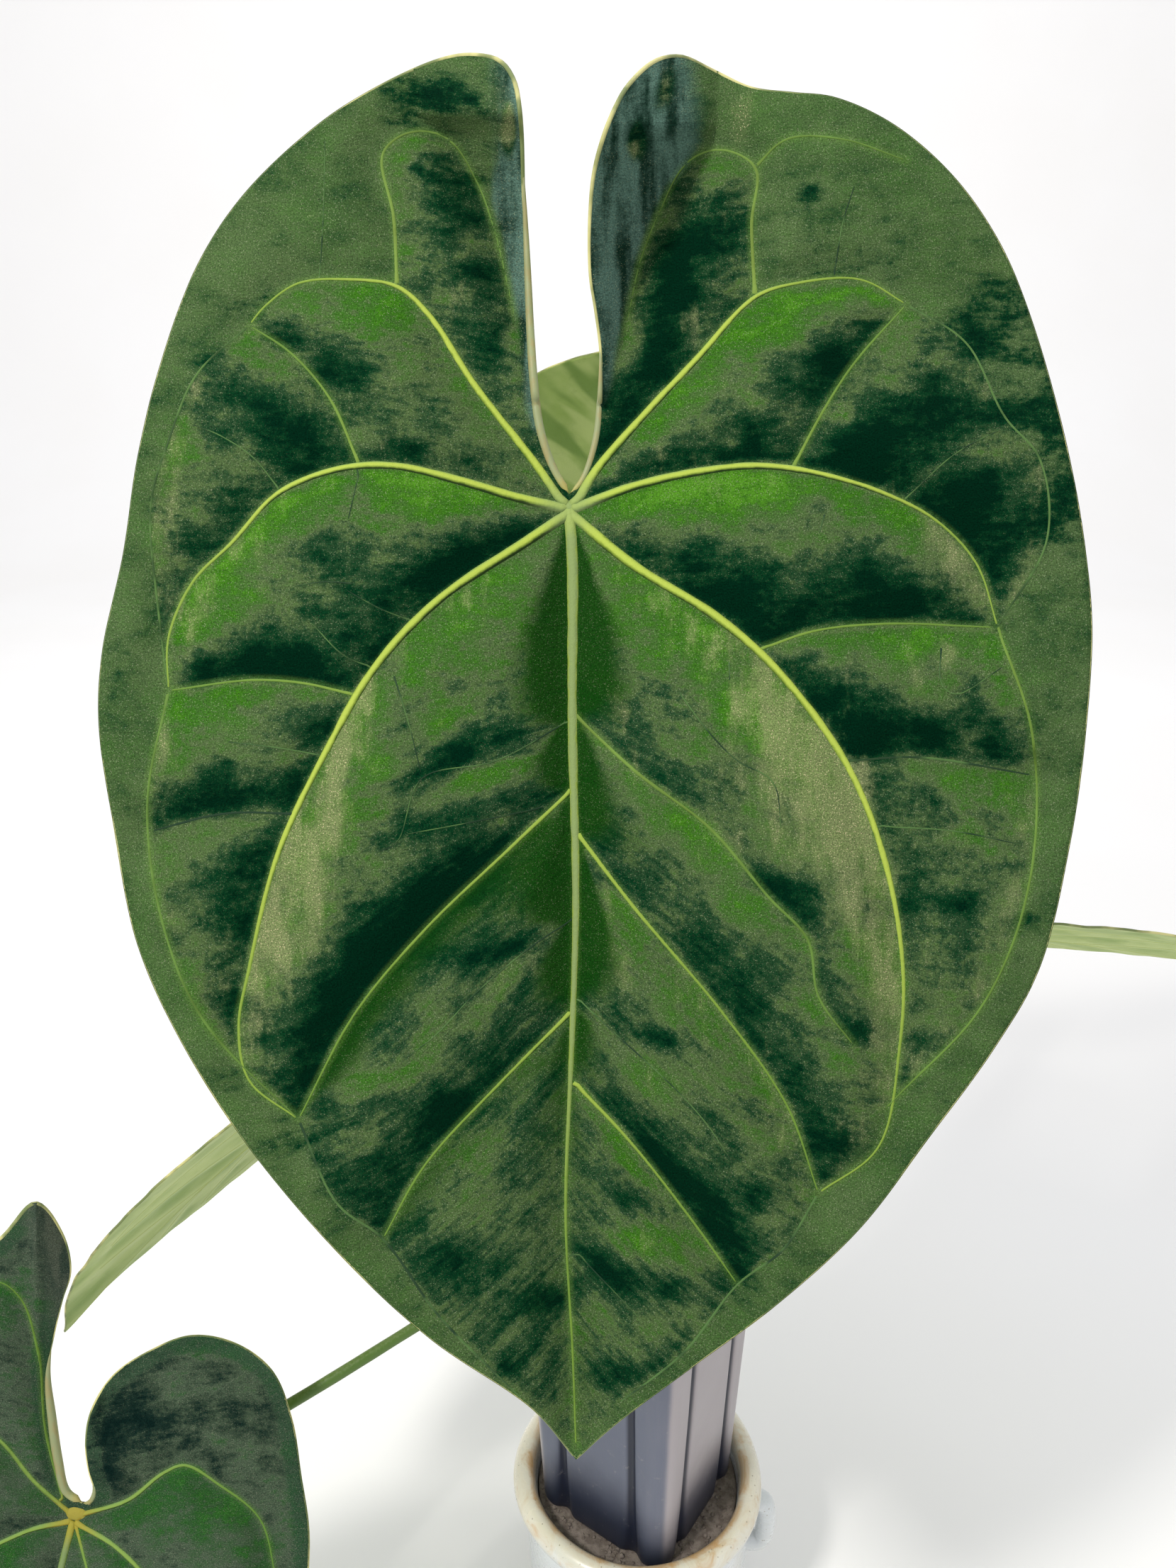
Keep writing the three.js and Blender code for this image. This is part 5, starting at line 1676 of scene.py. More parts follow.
    def joined(self, vein: Vein, path: Array) -> Array:
        """Start a vein's line on the middle of the wider vein that it leaves, or in the hub.

        Args:
            vein: The vein.
            path: Its smoothed line.

        Returns:
            The line, with a first point more where it joins.
        """
        if np.hypot(*path[0]) < 6.0:
            return np.vstack([[[0.0, -0.5]], path])
        for other, line in zip(self.drawing.veins, self.lines):
            dense = smooth_line(line, 1.0)
            gap = np.hypot(*(dense - path[0]).T)
            if other.start > vein.start and 0.3 < gap.min() < self.joint_reach:
                return np.vstack([dense[gap.argmin()][None, :], path])
        return path

    def build_veins(self) -> None:
        """Make the raised veins on both sides of the blade as one piece."""
        patches = []
        right, upward, _ = self.place.axes()
        light = unit(np.asarray(upward) - 0.2 * np.asarray(right))
        for vein, path in zip(self.drawing.veins, self.lines):
            line = smooth_line(self.joined(vein, path), 1.25)
            u, w = line[:, 0], line[:, 1]
            centres, up = self.sheet(u, w), self.face_at(u, w)
            t = np.linspace(0.0, 1.0, len(line))
            width = (vein.start + (vein.end - vein.start) * np.minimum(1.0, CORD.taper * t)) * math.sqrt(self.scale)
            width = width * (CORD.swell if vein.start > CORD.main else 1.0)
            wander = 1.0 + CORD.wander * Lattice(11, 5.0, 5.0).at(u, w)
            flare = CORD.flare * np.exp(-((np.arange(len(line)) / CORD.flare_steps) ** 2)) * (vein.start < CORD.main)
            ends = round_ends(len(line), 1)
            half = 0.5 * width * wander * (1.0 + flare) * ends
            tip = 1.0 - CORD.point * smoothstep(t, 0.8, 1.0)
            raised = np.maximum(CORD.rise * width * tip, CORD.least_rise * self.thickness) * ends
            rib = 1.0 if vein is self.drawing.veins[0] else 0.0
            values = {
                "weight": np.clip(width / 3.0, 0.0, 1.0),
                "dull": np.full(len(line), vein.dull),
                "hub": np.hypot(u, w),
                "rib": np.full(len(line), rib) * smoothstep(-w, 2.0, 12.0) * smoothstep(w, -250.0, -120.0),
            }
            patch = tube_patch(centres, half * tip, raised, 10, up, values)
            patch.values["lit"] = unit(patch.points - centres[:, None, :]) @ light
            patches.append(patch)
        mesh = mesh_from_patches(self.name + "_veins", patches)
        declare(new_object(mesh, self.cords))

    def build_edge(self) -> None:
        """Make the thin round bead all along the margin."""
        line = spaced(self.outline, max(60, round(len(self.outline) * 1.1)))
        u, w = line[:, 0], line[:, 1]
        pull = self.edge_inset * unit(line.mean(axis=0) - line)
        centres = self.sheet(u + pull[:, 0], w + pull[:, 1])
        up = self.face_at(u, w)
        lobe = smoothstep(w / self.scale, 60.0, 120.0) * smoothstep(-np.abs(u / self.scale), -75.0, -25.0)
        radius = (0.42 + 0.22 * lobe) * round_ends(len(line), 2)
        patch = tube_patch(centres, radius, radius, 8, up)
        mesh = mesh_from_patches(self.name + "_edge", [patch])
        declare(new_object(mesh, self.edge))

    def build_rolled_margins(self) -> None:
        """Make the bare rolled margins that run up both sides of the cleft from the hub."""
        patches = []
        for side, (reach, width) in zip((-1, 1), self.rolled):
            rim = self.rim(side, 1.5)
            along = np.concatenate([[0.0], np.cumsum(np.linalg.norm(np.diff(rim, axis=0), axis=1))])
            line = rim[along <= reach]
            u, w = line[:, 0], line[:, 1]
            t = np.linspace(0.0, 1.0, len(line))
            half = 0.5 * width * (0.75 + 0.25 * np.sin(math.pi * t)) * np.sqrt(1.0 - t**3 * 0.97)
            half *= np.clip(np.arange(len(line)) / 2.0, 0.0, 1.0)
            centres = self.sheet(u - side * 0.35 * half, w)
            values = {"hub": np.hypot(u, w)}
            patches.append(tube_patch(centres, half, half * 0.9, 12, self.face_at(u, w), values))
        mesh = mesh_from_patches(self.name + "_cleft_margins", patches)
        declare(new_object(mesh, self.bare))

    def build_hub(self) -> None:
        """Make the small swelling where the veins meet."""
        u, w = np.array([self.hub_spot[0]]), np.array([self.hub_spot[1] + 3.0])
        centre, face = self.sheet(u, w)[0], self.face_at(u, w)[0]
        _, up, _ = self.place.axes()
        side = unit(np.cross(up, face))
        along = np.cross(face, side)
        bm = bmesh.new()
        bmesh.ops.create_uvsphere(bm, u_segments=24, v_segments=14, radius=1.0)
        for vert in bm.verts:
            x, y, z = (place * radius for place, radius in zip(vert.co, self.hub_radii))
            vert.co = Vector((centre + side * x + along * y + face * z) * MM)
        bmesh.ops.recalc_face_normals(bm, faces=bm.faces)
        mesh = kept_mesh(self.name + "_hub", bm)
        for key, value in {"crest": 0.8, "weight": 1.0, "dull": 0.0, "hub": 0.0, "lit": 0.3, "rib": 0.6}.items():
            keep_value(mesh, key, np.full(len(mesh.vertices), value))
        declare(new_object(mesh, self.cords))

    def build_stalk(self) -> None:
        """Make the stalk: sheathed at the stem, round, with a swollen knee under the hub."""
        u, w = np.array([self.hub_spot[0]]), np.array([self.hub_spot[1]])
        face = self.face_at(u, w)[0]
        gap = self.thickness / 2 + 0.8 * self.hub_rib + 0.45
        end = self.sheet(u, w)[0] - face * gap
        r = self.stalk_radius
        points = [*self.route, end - face * 4 * r - np.array([0, 0, 1.2 * r]), end - face * 1.6 * r, end]
        centres = smooth_line(points, 2.0)
        t = np.linspace(0.0, 1.0, len(centres))
        sheath = 0.6 * (1 - np.clip(t / 0.16, 0.0, 1.0))
        knee = 0.18 * np.sin(math.pi * np.clip((t - 0.93) / 0.09, 0.0, 1.0))
        radius = r * (1 + sheath + knee) * round_ends(len(centres), 2)
        radius *= 1.0 + 0.012 * np.sin(37.0 * t) + 0.008 * np.sin(91.0 * t)
        mesh = mesh_from_patches(self.name + "_petiole", [tube_patch(centres, radius, radius, 18)])
        declare(new_object(mesh, self.skin), [self.name + "_stalk"])


# Stem and pots


@dataclass
class Stem:
    """Short thick stem with leaf-scar rings."""

    radius: float = 9.0
    in_mix: float = 26.0
    above_mix: float = 34.0
    scar_pitch: float = 8.0
    finish: StemBark = StemBark("stem_skin")

    def build(self) -> None:
        """Make the stem."""
        h = np.linspace(-self.in_mix + 1, self.above_mix, 90)
        ring = np.where(h > 0, 0.6 * np.cos(2 * math.pi * h / self.scar_pitch), 0.0)
        crown = np.clip((h - self.above_mix + 8) / 8, 0.0, 1.0)
        radius = (self.radius - 0.6 + ring) * np.sqrt(1 - 0.75 * crown**2)
        heights = np.concatenate([[h[0] - 0.6], h, [h[-1] + 0.9]])
        radius = np.concatenate([[0.0], radius, [0.0]])
        angle = np.linspace(0.0, 2 * math.pi, 49)
        angle[-1] = 0.0
        a, z = np.meshgrid(angle, heights)
        rough = 0.25 * np.sin(9 * a + 0.5 * z) * np.sin(5 * a - 0.8 * z) + 0.2 * np.sin(3 * a + 0.37 * z)
        r = radius[:, None] + np.where(radius[:, None] > 0, rough, 0.0)
        points = np.stack([r * np.cos(a), r * np.sin(a), MIX_Z + z], axis=-1)
        mesh = mesh_from_patches("rhizome", [Patch(points)])
        declare(new_object(mesh, self.finish), ["stem"])


@dataclass
class CoverPot:
    """Glazed ceramic pot with a rolled lip and an ear."""

    mouth: float = 50.0
    lip: float = 60.5
    body: float = 54.5
    foot: float = 43.0
    wall: float = 5.5
    floor: float = 8.0
    ear_top: float = 23.0
    ear_height: float = 37.0
    ear_reach: float = 15.0
    ear_radius: float = 5.0
    finish: Glaze = Glaze("cream_glaze")

    def profile(self) -> Array:
        """Outline of the wall from the middle of the foot round to the middle of the floor.

        Returns:
            Radius and height of each point.
        """
        inner = self.body - self.wall
        outside = [
            (self.foot + 4, 3), (self.foot + 6.6, 9), (self.body - 3.5, 18), (self.body - 1.2, 29), (self.body, 42),
            (self.body, RIM_Z - 24), (self.body + 0.2, RIM_Z - 13.5), (self.lip - 2.4, RIM_Z - 10),
            (self.lip, RIM_Z - 6.5), (self.lip - 0.8, RIM_Z - 2.8), (self.lip - 3.2, RIM_Z - 0.6),
            (self.lip - 5.4, RIM_Z), (self.mouth + 2, RIM_Z - 0.8), (self.mouth + 0.2, RIM_Z - 3.5),
            (self.mouth - 0.4, RIM_Z - 8), (inner, RIM_Z - 14), (inner, RIM_Z - 30), (inner, 30),
            (inner - 1.4, 18), (inner - 5, self.floor + 4), (inner - 10, self.floor),
        ]
        curve = smooth_line(outside, 1.6)
        foot = [(0, 0.9), (self.foot - 6, 0.9), (self.foot - 5, 0.0), (self.foot, 0.0), (self.foot + 1.6, 0.8)]
        return np.vstack([foot, curve, [(20.0, self.floor), (0.0, self.floor)]])

    def build(self) -> None:
        """Make the pot with its ear as one piece."""
        mesh = spun_mesh("glazed_cover_pot", self.profile(), 144, wobble=0.35)
        top = RIM_Z - self.ear_top
        root = self.body - 2
        out = self.body + self.ear_reach - self.ear_radius
        upper, lower = top - self.ear_radius, top - self.ear_height + self.ear_radius
        middle = top - self.ear_height * 0.5
        loop = [(root, 0, upper), (out - 2, 0, upper), (out + 0.6, 0, middle), (out - 2, 0, lower), (root, 0, lower)]
        ear = smooth_line(loop, 1.2)
        t = np.linspace(0.0, 1.0, len(ear))
        flare = 1.0 + 0.12 * (np.abs(2 * t - 1) ** 4)
        radius = self.ear_radius * flare * round_ends(len(ear), 1)
        hint = np.tile([0.0, 1.0, 0.0], (len(ear), 1))
        handle = mesh_from_patches("ear", [tube_patch(ear, radius * 0.96, radius, 28, hint)])
        bm = bmesh.new()
        bm.from_mesh(mesh)
        bm.from_mesh(handle)
        bm.to_mesh(mesh)
        bm.free()
        for extra in [a.name for a in mesh.attributes if a.name in ("crest", "along")]:
            mesh.attributes.remove(mesh.attributes[extra])
        height = np.array([v.co.z for v in mesh.vertices]) / MM
        reach = np.array([math.hypot(v.co.x, v.co.y) for v in mesh.vertices]) / MM
        at_lip = smoothstep(height, RIM_Z - 11, RIM_Z - 3) * (1 - 0.45 * smoothstep(reach, self.mouth + 3, self.lip))
        keep_value(mesh, "lip", at_lip + 0.06)
        declare(new_object(mesh, self.finish), ["cover_pot"])


@dataclass
class GritBed:
    """Layer of grit in the cover pot, with loose grains on top."""

    radius: float = 48.7
    floor: float = 8.3
    grains: int = 900
    grain_radii: Pair = (0.5, 1.25)
    pot_foot: float = 36.5  # half-width under the plastic pot where grains are pressed flat
    seed: int = 5
    finish: LooseStuff = LooseStuff(Ground.GRIT)

    def build_body(self) -> None:
        """Make the uneven bed."""
        profile = [
            (0, self.floor), (self.radius - 10.2, self.floor), (self.radius - 5.2, self.floor + 4),
            (self.radius, 30), (self.radius, BED_Z - 1.0),
        ]
        rings = np.linspace(self.radius - 0.6, 0.0, 34)
        profile += [(r, BED_Z - 0.2) for r in rings]
        mesh = spun_mesh("grit_layer", np.asarray(profile), 120)
        lumps = Lattice(21, 2.6, 2.6)
        for vert in mesh.vertices:
            if vert.co.z > (BED_Z - 0.5) * MM:
                x, y = np.array([vert.co.x / MM]), np.array([vert.co.y / MM])
                vert.co.z += 0.45 * MM * float(lumps.at(x, y)[0])
        declare(new_object(mesh, self.finish), ["grit_bed"])

    def build_grains(self) -> None:
        """Scatter grains between the plastic pot and the ceramic wall."""
        rng = np.random.default_rng(self.seed)
        bm = bmesh.new()
        made = 0
        while made < self.grains:
            x, y = rng.uniform(-self.radius, self.radius, 2)
            if math.hypot(x, y) > self.radius - 1.4:
                continue
            made += 1
            size = rng.uniform(*self.grain_radii)
            spin = Matrix.Rotation(rng.uniform(0, 6.28), 4, rng.normal(size=3))
            stretch = Matrix.Diagonal((*rng.uniform(0.7, 1.3, 3), 1.0))
            at = Matrix.Translation((x * MM, y * MM, (BED_Z - 0.35 + 0.25 * size) * MM))
            bmesh.ops.create_icosphere(bm, subdivisions=1, radius=size * MM, matrix=at @ spin @ stretch)
        top = (PLASTIC_Z - 0.1) * MM
        for vert in bm.verts:
            across = turned(vert.co.x, vert.co.y, -math.radians(PLASTIC_TURN))
            if np.abs(across).max() < self.pot_foot * MM:
                vert.co.z = min(vert.co.z, top)
        piece = new_object(kept_mesh("grit_grains", bm), self.finish)
        piece.data.shade_flat()
        declare(piece)


@dataclass
class GrowPot:
    """Tall square plastic pot: rounded corners, two grooves down each side that widen at the base, a flange."""

    height: float = 150.0
    base_half: float = 35.5
    top_half: float = 40.5
    wall: float = 1.4
    floor: float = 3.0
    corner: float = 10.0
    flange_height: float = 7.0
    flange_out: float = 1.6
    groove_centre: float = 19.0
    groove_half: float = 3.2
    groove_depth: float = 2.6
    around: int = 256
    finish: ScuffedSideLitPlastic = ScuffedSideLitPlastic("scuffed_side_lit_plastic")

    def half_at(self, z: float) -> float:
        """Half-width of the pot at a height over its base."""
        return self.base_half + (self.top_half - self.base_half) * min(max(z / self.height, 0.0), 1.0)

    def section(self, half: float, z: float, depth: float) -> tuple[Array, Array, Array, Array]:
        """Draw the pot's section at one height.

        Args:
            half: Half-width of the square.
            z: Height over the base.
            depth: Depth of the grooves there.

        Returns:
            Points, how much each lies on a corner, how deep in a groove, and the cosine of the way it faces, which sets
            where light is painted.
        """
        straight = half - self.corner
        quarter = 0.5 * math.pi * self.corner
        side_length = 2 * straight
        s = np.linspace(0.0, 4 * (side_length + quarter), self.around, endpoint=False)
        side = np.floor(s / (side_length + quarter)).astype(int)
        rest = s - side * (side_length + quarter)
        on_flat = rest < side_length
        y = np.where(on_flat, rest - straight, straight)
        arc = np.clip((rest - side_length) / self.corner, 0.0, math.pi / 2)
        x = np.where(on_flat, half, straight + self.corner * np.cos(arc))
        y = np.where(on_flat, y, straight + self.corner * np.sin(arc))
        flare = 1.0 + 1.1 * math.exp(-max(z, 0.0) / 14.0)
        groove_half = self.groove_half * flare
        offset = np.abs(np.abs(y) - self.groove_centre) / groove_half
        inside = np.where(on_flat, 0.5 + 0.5 * np.cos(math.pi * np.clip(offset, 0.0, 1.0)), 0.0)
        x = x - depth * inside
        corner = np.where(on_flat, smoothstep(np.abs(y), straight - 6.0, straight + 1.0), 1.0)
        angle = side * math.pi / 2
        points = np.stack(turned(*turned(x, y, angle), math.radians(PLASTIC_TURN)), axis=1)
        aspect = np.cos(angle + np.where(on_flat, 0.0, arc))
        return np.column_stack([points, np.full(len(points), PLASTIC_Z + z)]), corner, inside, aspect

    def build(self) -> None:
        """Make the pot as one closed shell, outside and inside."""
        flange = self.height - self.flange_height
        # Height, how far out of the half-width there, share of the groove, and 1 on the inside
        levels: list[tuple[float, float, float, float]] = [(0.0, -30.0, 0.0, 0.0), (0.0, -1.0, 1.0, 0.0)]
        for z in (0.5, 1.5, 4.0, 8.0, 13.0, 20.0, 30.0, 45.0, 65.0, 90.0, 115.0, 135.0, flange - 1.0):
            levels.append((z, 0.0 if z > 1 else -0.3, 1.0, 0.0))
        levels += [
            (flange, 0.0, 0.9, 0.0), (flange + 0.9, self.flange_out * 0.8, 0.5, 0.0),
            (flange + 1.6, self.flange_out, 0.25, 0.0), (self.height - 0.6, self.flange_out, 0.15, 0.0),
            (self.height, self.flange_out - 0.5, 0.1, 0.0), (self.height, 0.4 - self.wall, 0.0, 1.0),
            (self.height - 0.7, -self.wall, 0.0, 1.0),
        ]
        for z in (flange, 120.0, 80.0, 40.0, 12.0, self.floor + 1.0):
            levels.append((z, -self.wall - self.groove_depth * 0.15, 1.0, 1.0))
        levels.append((self.floor, -self.wall - 2.0, 1.0, 1.0))
        levels.append((self.floor, -30.0, 0.0, 1.0))
        rows, corners, grooves, rises, aspects = [], [], [], [], []
        for z, extra, groove, inner in levels:
            half = self.half_at(z) + extra
            if half < self.corner + 1:
                ring, corner, inside, aspect = self.section(self.corner + 1.0, z, 0.0)
                ring = ring * np.array([0.0, 0.0, 1.0])
            else:
                depth = self.groove_depth * groove * (0.75 if inner else 1.0)
                ring, corner, inside, aspect = self.section(half, z, depth)
            rows.append(np.vstack([ring, ring[:1]]))
            corners.append(np.append(corner, corner[0]) * (1.0 - 0.6 * inner))
            grooves.append(np.append(inside, inside[0]) * groove * (1.0 - inner))
            rises.append(np.full(len(ring) + 1, z / self.height))
            aspects.append(np.append(aspect, aspect[0]))
        values = {"corner": corners, "groove": grooves, "rise": rises, "aspect": aspects}
        patch = Patch(np.array(rows), {key: np.array(value) for key, value in values.items()})
        mesh = mesh_from_patches("grow_pot", [patch])
        declare(new_object(mesh, self.finish), ["plastic_pot"])


@dataclass
class PottingMix:
    """Bark and fibre mix in the plastic pot, with loose chunks on top."""

    pot: GrowPot
    below_rim: float = 10.0
    gap: float = 0.3
    chunks: int = 420
    edge_room: float = 6.0
    stem_room: float = 11.5
    pumice_every: int = 7
    bark_radii: Pair = (1.3, 3.4)
    pumice_radii: Pair = (1.0, 1.9)
    seed: int = 9
    bark: LooseStuff = LooseStuff(Ground.BARK)
    pumice: LooseStuff = LooseStuff(Ground.PUMICE)

    def build_body(self) -> None:
        """Make the body of the mix, its top uneven."""
        top = self.pot.height - self.below_rim
        base = self.pot.floor + self.gap
        inset = self.pot.wall + self.gap + 0.5
        rows = []
        for z, shrink in ((base, 0.0), (base, 1.0), (60.0, 1.0), (top - 3, 1.0)):
            ring = self.pot.section(self.pot.half_at(z) - inset, z, self.pot.groove_depth)[0]
            rows.append(ring * np.array([shrink, shrink, 1.0]))
        edge = self.pot.section(self.pot.half_at(top) - inset, top, self.pot.groove_depth)[0]
        lumps, small = Lattice(31, 7.0, 7.0), Lattice(32, 3.0, 3.0)
        for shrink in np.linspace(0.99, 0.0, 26):
            ring = edge * np.array([shrink, shrink, 1.0])
            rise = 1.1 * lumps.at(ring[:, 0], ring[:, 1]) + 0.6 * small.at(ring[:, 0], ring[:, 1])
            ring[:, 2] += (1.0 - shrink**3) * 1.4 + rise * min(1.0, shrink * 6) - 0.6
            rows.append(ring)
        points = np.array([np.vstack([ring, ring[:1]]) for ring in rows])
        mesh = mesh_from_patches("mix_body", [Patch(points)])
        declare(new_object(mesh, self.bark), ["potting_mix"])

    def build_chunks(self) -> None:
        """Scatter bark chips and pale pumice on the mix."""
        rng = np.random.default_rng(self.seed)
        half = self.pot.half_at(self.pot.height - self.below_rim) - self.edge_room
        bm = bmesh.new()
        for k in range(self.chunks):
            a, b = rng.uniform(-half, half, 2)
            if math.hypot(a, b) < self.stem_room:
                continue
            x, y = turned(a, b, math.radians(PLASTIC_TURN))
            pumice = k % self.pumice_every == 0
            size = rng.uniform(*(self.pumice_radii if pumice else self.bark_radii))
            spin = Matrix.Rotation(rng.uniform(0, 6.28), 4, "Z") @ Matrix.Rotation(rng.uniform(-0.5, 0.5), 4, "X")
            stretch = Matrix.Diagonal((1.0, *rng.uniform(0.35, 0.8, 2), 1.0))
            at = Matrix.Translation((x * MM, y * MM, (MIX_Z + 0.9 + 0.3 * size) * MM))
            ball = bmesh.ops.create_icosphere(bm, subdivisions=1, radius=size * MM, matrix=at @ spin @ stretch)
            jitter = rng.uniform(-0.16, 0.16, (len(ball["verts"]), 3)) * size * MM
            for vert, move in zip(ball["verts"], jitter):
                vert.co += Vector(move)
                for face in vert.link_faces:
                    face.material_index = int(pumice)
        bmesh.ops.recalc_face_normals(bm, faces=bm.faces)
        piece = new_object(kept_mesh("bark_chips", bm), self.bark, self.pumice)
        piece.data.shade_flat()
        declare(piece)


# The whole plant


def at_stem(angle: float, height: float) -> Triple:
    """Point inside the stem where a stalk starts."""
    turn = math.radians(angle)
    return (5 * math.cos(turn), 5 * math.sin(turn), MIX_Z + height)


def tilted(degrees: float) -> Triple:
    """Upward direction of a drawing that leans back by an angle."""
    return (0.0, math.sin(math.radians(degrees)), math.cos(math.radians(degrees)))


def leaves() -> list[Leaf]:
    """Describe the five leaves.

    Returns:
        The leaves, the front one first.
    """
    shaded = Velvet("shaded_velvet", shift=0.06)
    # copy of the velvet for the low leaf, with a painted blue-grey sheen and flatter painted light and shade
    low_velvet = Velvet(
        "low_leaf_velvet",
        black=seen(10, 32, 28), shadow=seen(26, 46, 38), dusk=seen(56, 72, 56), dusty=seen(76, 92, 72),
        leafy=seen(54, 86, 52), green=seen(44, 88, 40), bright=seen(54, 106, 42), gold_sheen=seen(96, 108, 88),
        border=seen(52, 80, 58), border_shade=seen(40, 68, 48), fold=seen(92, 100, 86),
        fold_shade=seen(56, 72, 62), glint=seen(150, 150, 130), contrast=0.34, shift=0.26,
    )
    plain = {"drawing": PLAIN, "bulge": 1.2, "velvet": shaded}
    beside = {"stalk_radius": 2.2, "hub_spot": (0.0, -3.0), "rugged": 0.3, "lobe_rows": 50, "body_rows": 86}
    return [
        Leaf(
            name="front",
            drawing=FRONT,
            place=Place((-29.8, -70, RIM_Z + 472), tilted(22), (0, -1, 0), seen=True),
            stand_off=front_stand_off,
            route=[
                at_stem(262, 22), (-3, -18, MIX_Z + 40), (-10, -34, RIM_Z + 250), (-20, -50, RIM_Z + 370),
                (-28, -52, RIM_Z + 440),
            ],
            stalk_radius=2.9, hub_rib=1.7, rolled=((96.0, 2.7), (46.0, 1.9)),
        ),
        Leaf(
            name="low",
            drawing=LOW,
            place=Place((-212.2, -112.8, RIM_Z + 114.2), tilted(20), (0, -1, 0), seen=True),
            stand_off=low_stand_off,
            route=[
                at_stem(205, 14), (-22, -13, MIX_Z + 27), (-52, -31, RIM_Z + 157), (-94.7, -55.1, RIM_Z + 144.8),
                (-139.6, -80.6, RIM_Z + 133), (-186, -96, RIM_Z + 114),
            ],
            stalk_radius=2.2, hub_spot=(1.0, -1.0), hub_rib=1.3, lobe_rows=70, body_rows=100, columns=62,
            border_width=6.0, rolled=((62.0, 3.4), (12.0, 1.8)), hub_radii=(4.2, 3.0, 1.2), velvet=low_velvet,
            cords=VeinCord("low_vein_cord", ridge=seen(136, 164, 78), hub=seen(176, 152, 48)),
        ),
        Leaf(
            name="left",
            place=Place((-104, -0.6, RIM_Z + 246.6), (0.743, 0.352, 0.57), (-0.669, 0.413, 0.618), length=171.4),
            stand_off=plain_stand_off(6.5, 1.8),
            route=[at_stem(150, 12), (-18, 9, MIX_Z + 28), (-46, 12, RIM_Z + 200), (-78, 4, RIM_Z + 222)],
            scale=0.63, columns=48, **plain, **beside,
        ),
        Leaf(
            name="right",
            place=Place((84.6, 12.2, RIM_Z + 290), (-0.993, 0.008, 0.12), (0.107, 0.513, 0.852), length=165.9),
            stand_off=plain_stand_off(3.7, 1.4),
            route=[at_stem(15, 16), (17, 5, MIX_Z + 32), (48, 6, RIM_Z + 210), (72, 6, RIM_Z + 252)],
            scale=0.61, columns=48, **plain, **beside,
        ),
        Leaf(
            name="rear",
            place=Place(
                (13, 128, RIM_Z + 425.5), (-0.938, -0.203, 0.28), (0, 0.8, 0.6), length=217.6, twist=-26.0
            ),
            stand_off=plain_stand_off(4.0, 2.6),
            route=[at_stem(75, 24), (2, 18, MIX_Z + 44), (-6, 48, RIM_Z + 290), (-4, 88, RIM_Z + 384)],
            stalk_radius=2.8,
            scale=0.8, slim=0.96, rugged=0.35, lobe_rows=60, body_rows=104, columns=56,
            underside=Underside("backlit_banded_underside", 0.85),
            **plain,
        ),
    ]


@dataclass
class Plant:
    """Stem and leaves."""

    parts: list[Leaf] = field(default_factory=leaves)

    def build(self) -> None:
        """Make the stem and every leaf."""
        Stem().build()
        for leaf in self.parts:
            leaf.build()


@dataclass
class Pots:
    """Both pots and what is in them."""

    cover: CoverPot = field(default_factory=CoverPot)
    bed: GritBed = field(default_factory=GritBed)
    grow: GrowPot = field(default_factory=GrowPot)

    def build(self) -> None:
        """Make the pots, the grit and the potting mix."""
        self.cover.build()
        self.bed.build_body()
        self.bed.build_grains()
        self.grow.build()
        mix = PottingMix(self.grow)
        mix.build_body()
        mix.build_chunks()


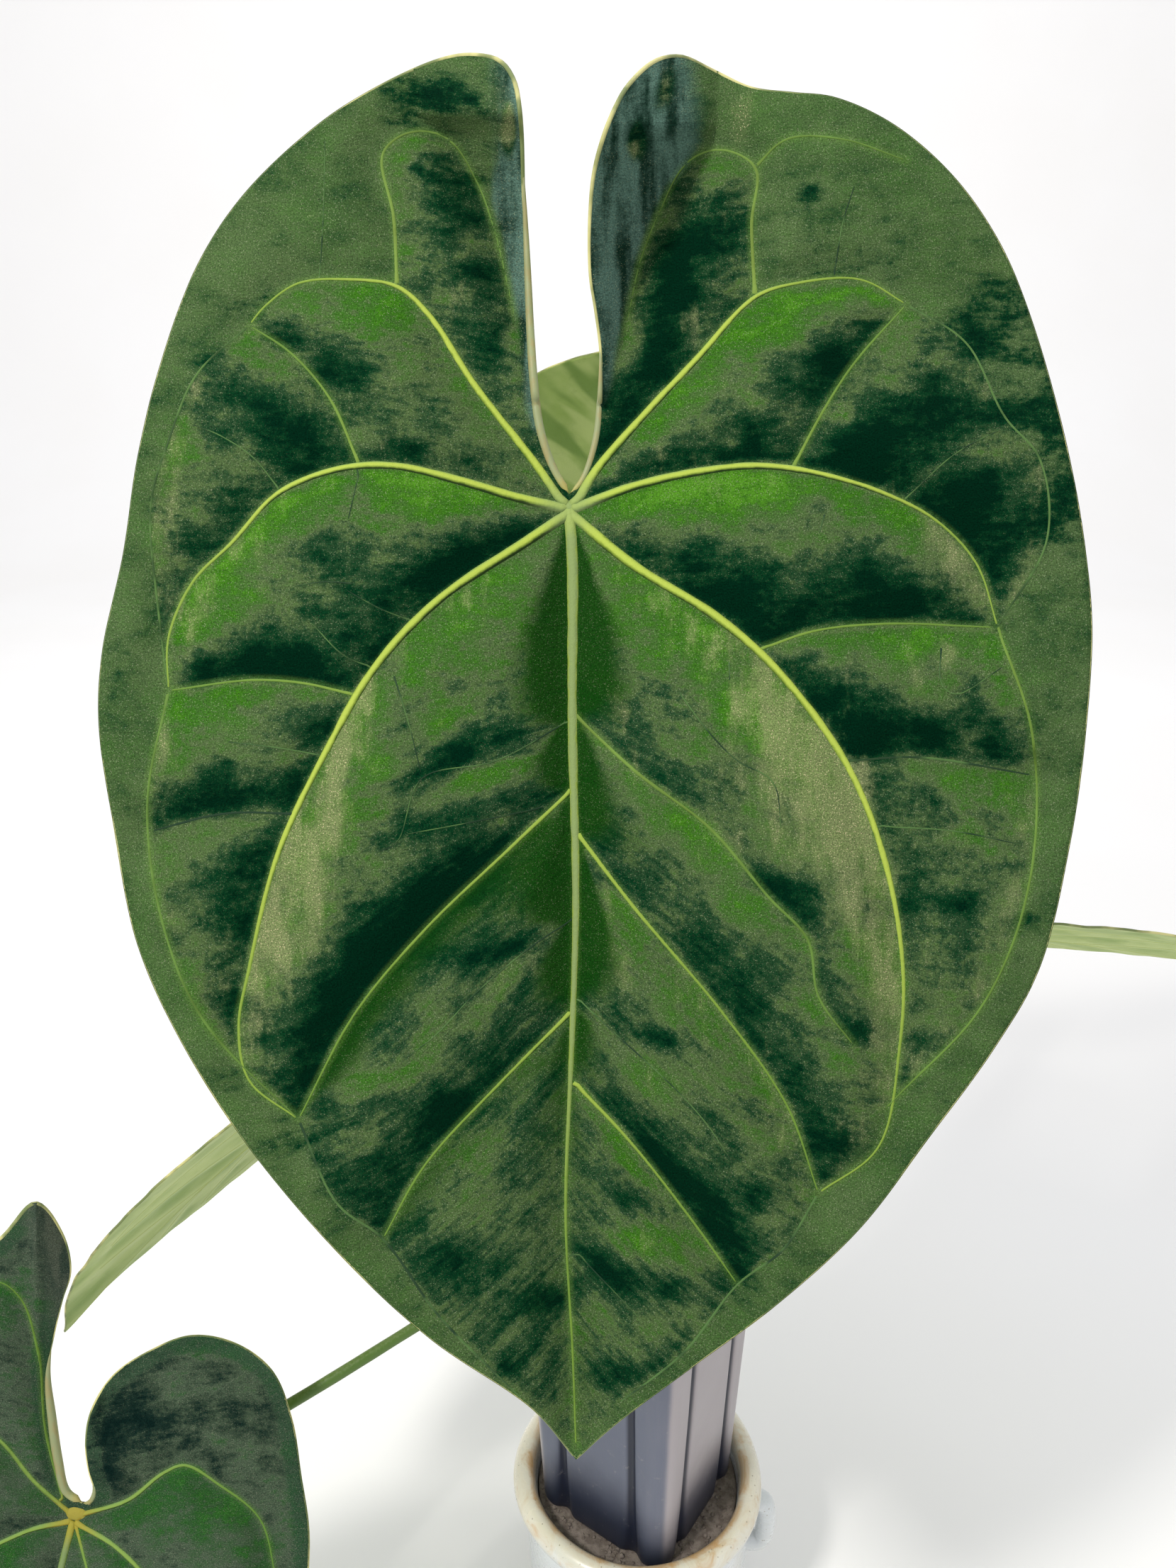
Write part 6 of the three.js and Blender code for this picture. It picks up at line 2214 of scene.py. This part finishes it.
@dataclass
class Studio:
    """Pale sweep, soft lights and the camera."""

    focal: float = 27.03
    tilt: float = 68.0
    half_width: float = 6.0  # of the floor, in metres, as the three below
    front: float = -1.6
    length: float = 6.4
    bend_at: float = 2.4

    def build_floor(self) -> None:
        """Make the floor with its far end curved up."""
        bm = bmesh.new()
        bmesh.ops.create_grid(bm, x_segments=8, y_segments=60, size=1.0)
        for vert in bm.verts:
            along = (vert.co.y + 1) * self.length / 2 + self.front
            bend = max(0.0, along - self.bend_at)
            turn = min(math.pi / 2, bend)
            y = min(along, self.bend_at) + math.sin(turn)
            z = (1 - math.cos(turn)) + max(0.0, bend - math.pi / 2)
            vert.co = Vector((vert.co.x * self.half_width, y, z))
        new_object(kept_mesh("studio_sweep", bm), StudioFloor())

    def add_light(self, name: str, at: Triple, aim: Triple, size: float, power: float, colour: Colour) -> None:
        """Add a square soft light that looks at a point, both in millimetres.

        Args:
            name: Name of the light.
            at: Where it hangs.
            aim: Where it looks.
            size: Its side.
            power: Its power in watts.
            colour: Its colour.
        """
        data = bpy.data.lights.new(name, "AREA")
        data.size, data.energy, data.color = size * MM, power, colour
        light = bpy.data.objects.new(name, data)
        bpy.context.scene.collection.objects.link(light)
        light.location = Vector(at) * MM
        light.rotation_euler = (Vector(aim) - Vector(at)).to_track_quat("-Z", "Y").to_euler()

    def build(self) -> None:
        """Set the floor, the lights, the surroundings and the camera."""
        self.build_floor()
        self.add_light("key", (-930, -990, 1900), (0, 0, 350), 240, 25.0, (1.0, 0.975, 0.93))
        self.add_light("backdrop", (0, 1200, 1800), (0, 3400, 1200), 1600, 14.0, (1.0, 1.0, 1.0))
        self.add_light("top", (150, 350, 2100), (0, -40, 400), 900, 4.0, (0.97, 0.985, 1.0))
        world = bpy.data.worlds.new("studio_surroundings")
        world.use_nodes = True
        background = world.node_tree.nodes["Background"]
        background.inputs["Color"].default_value = (0.95, 0.965, 1.0, 1.0)
        background.inputs["Strength"].default_value = 0.88
        scene = bpy.context.scene
        scene.world = world
        scene.view_settings.view_transform = "Standard"
        data = bpy.data.cameras.new("camera")
        data.lens, data.sensor_width, data.sensor_fit = self.focal, 36.0, "AUTO"
        data.clip_start, data.clip_end = 0.01, 50.0
        camera = bpy.data.objects.new("camera", data)
        scene.collection.objects.link(camera)
        camera.location = Vector(EYE) * MM
        camera.rotation_euler = (math.radians(self.tilt), 0.0, 0.0)
        scene.camera = camera


def write_sizes() -> None:
    """Bring the scene's transforms up to date."""
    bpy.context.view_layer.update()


def main() -> None:
    """Build the pots, the plant and the studio, in that order."""
    logging.basicConfig(level=logging.INFO, format="%(message)s")
    Pots().build()
    Plant().build()
    Studio().build()
    write_sizes()


if __name__ == "__main__":
    main()
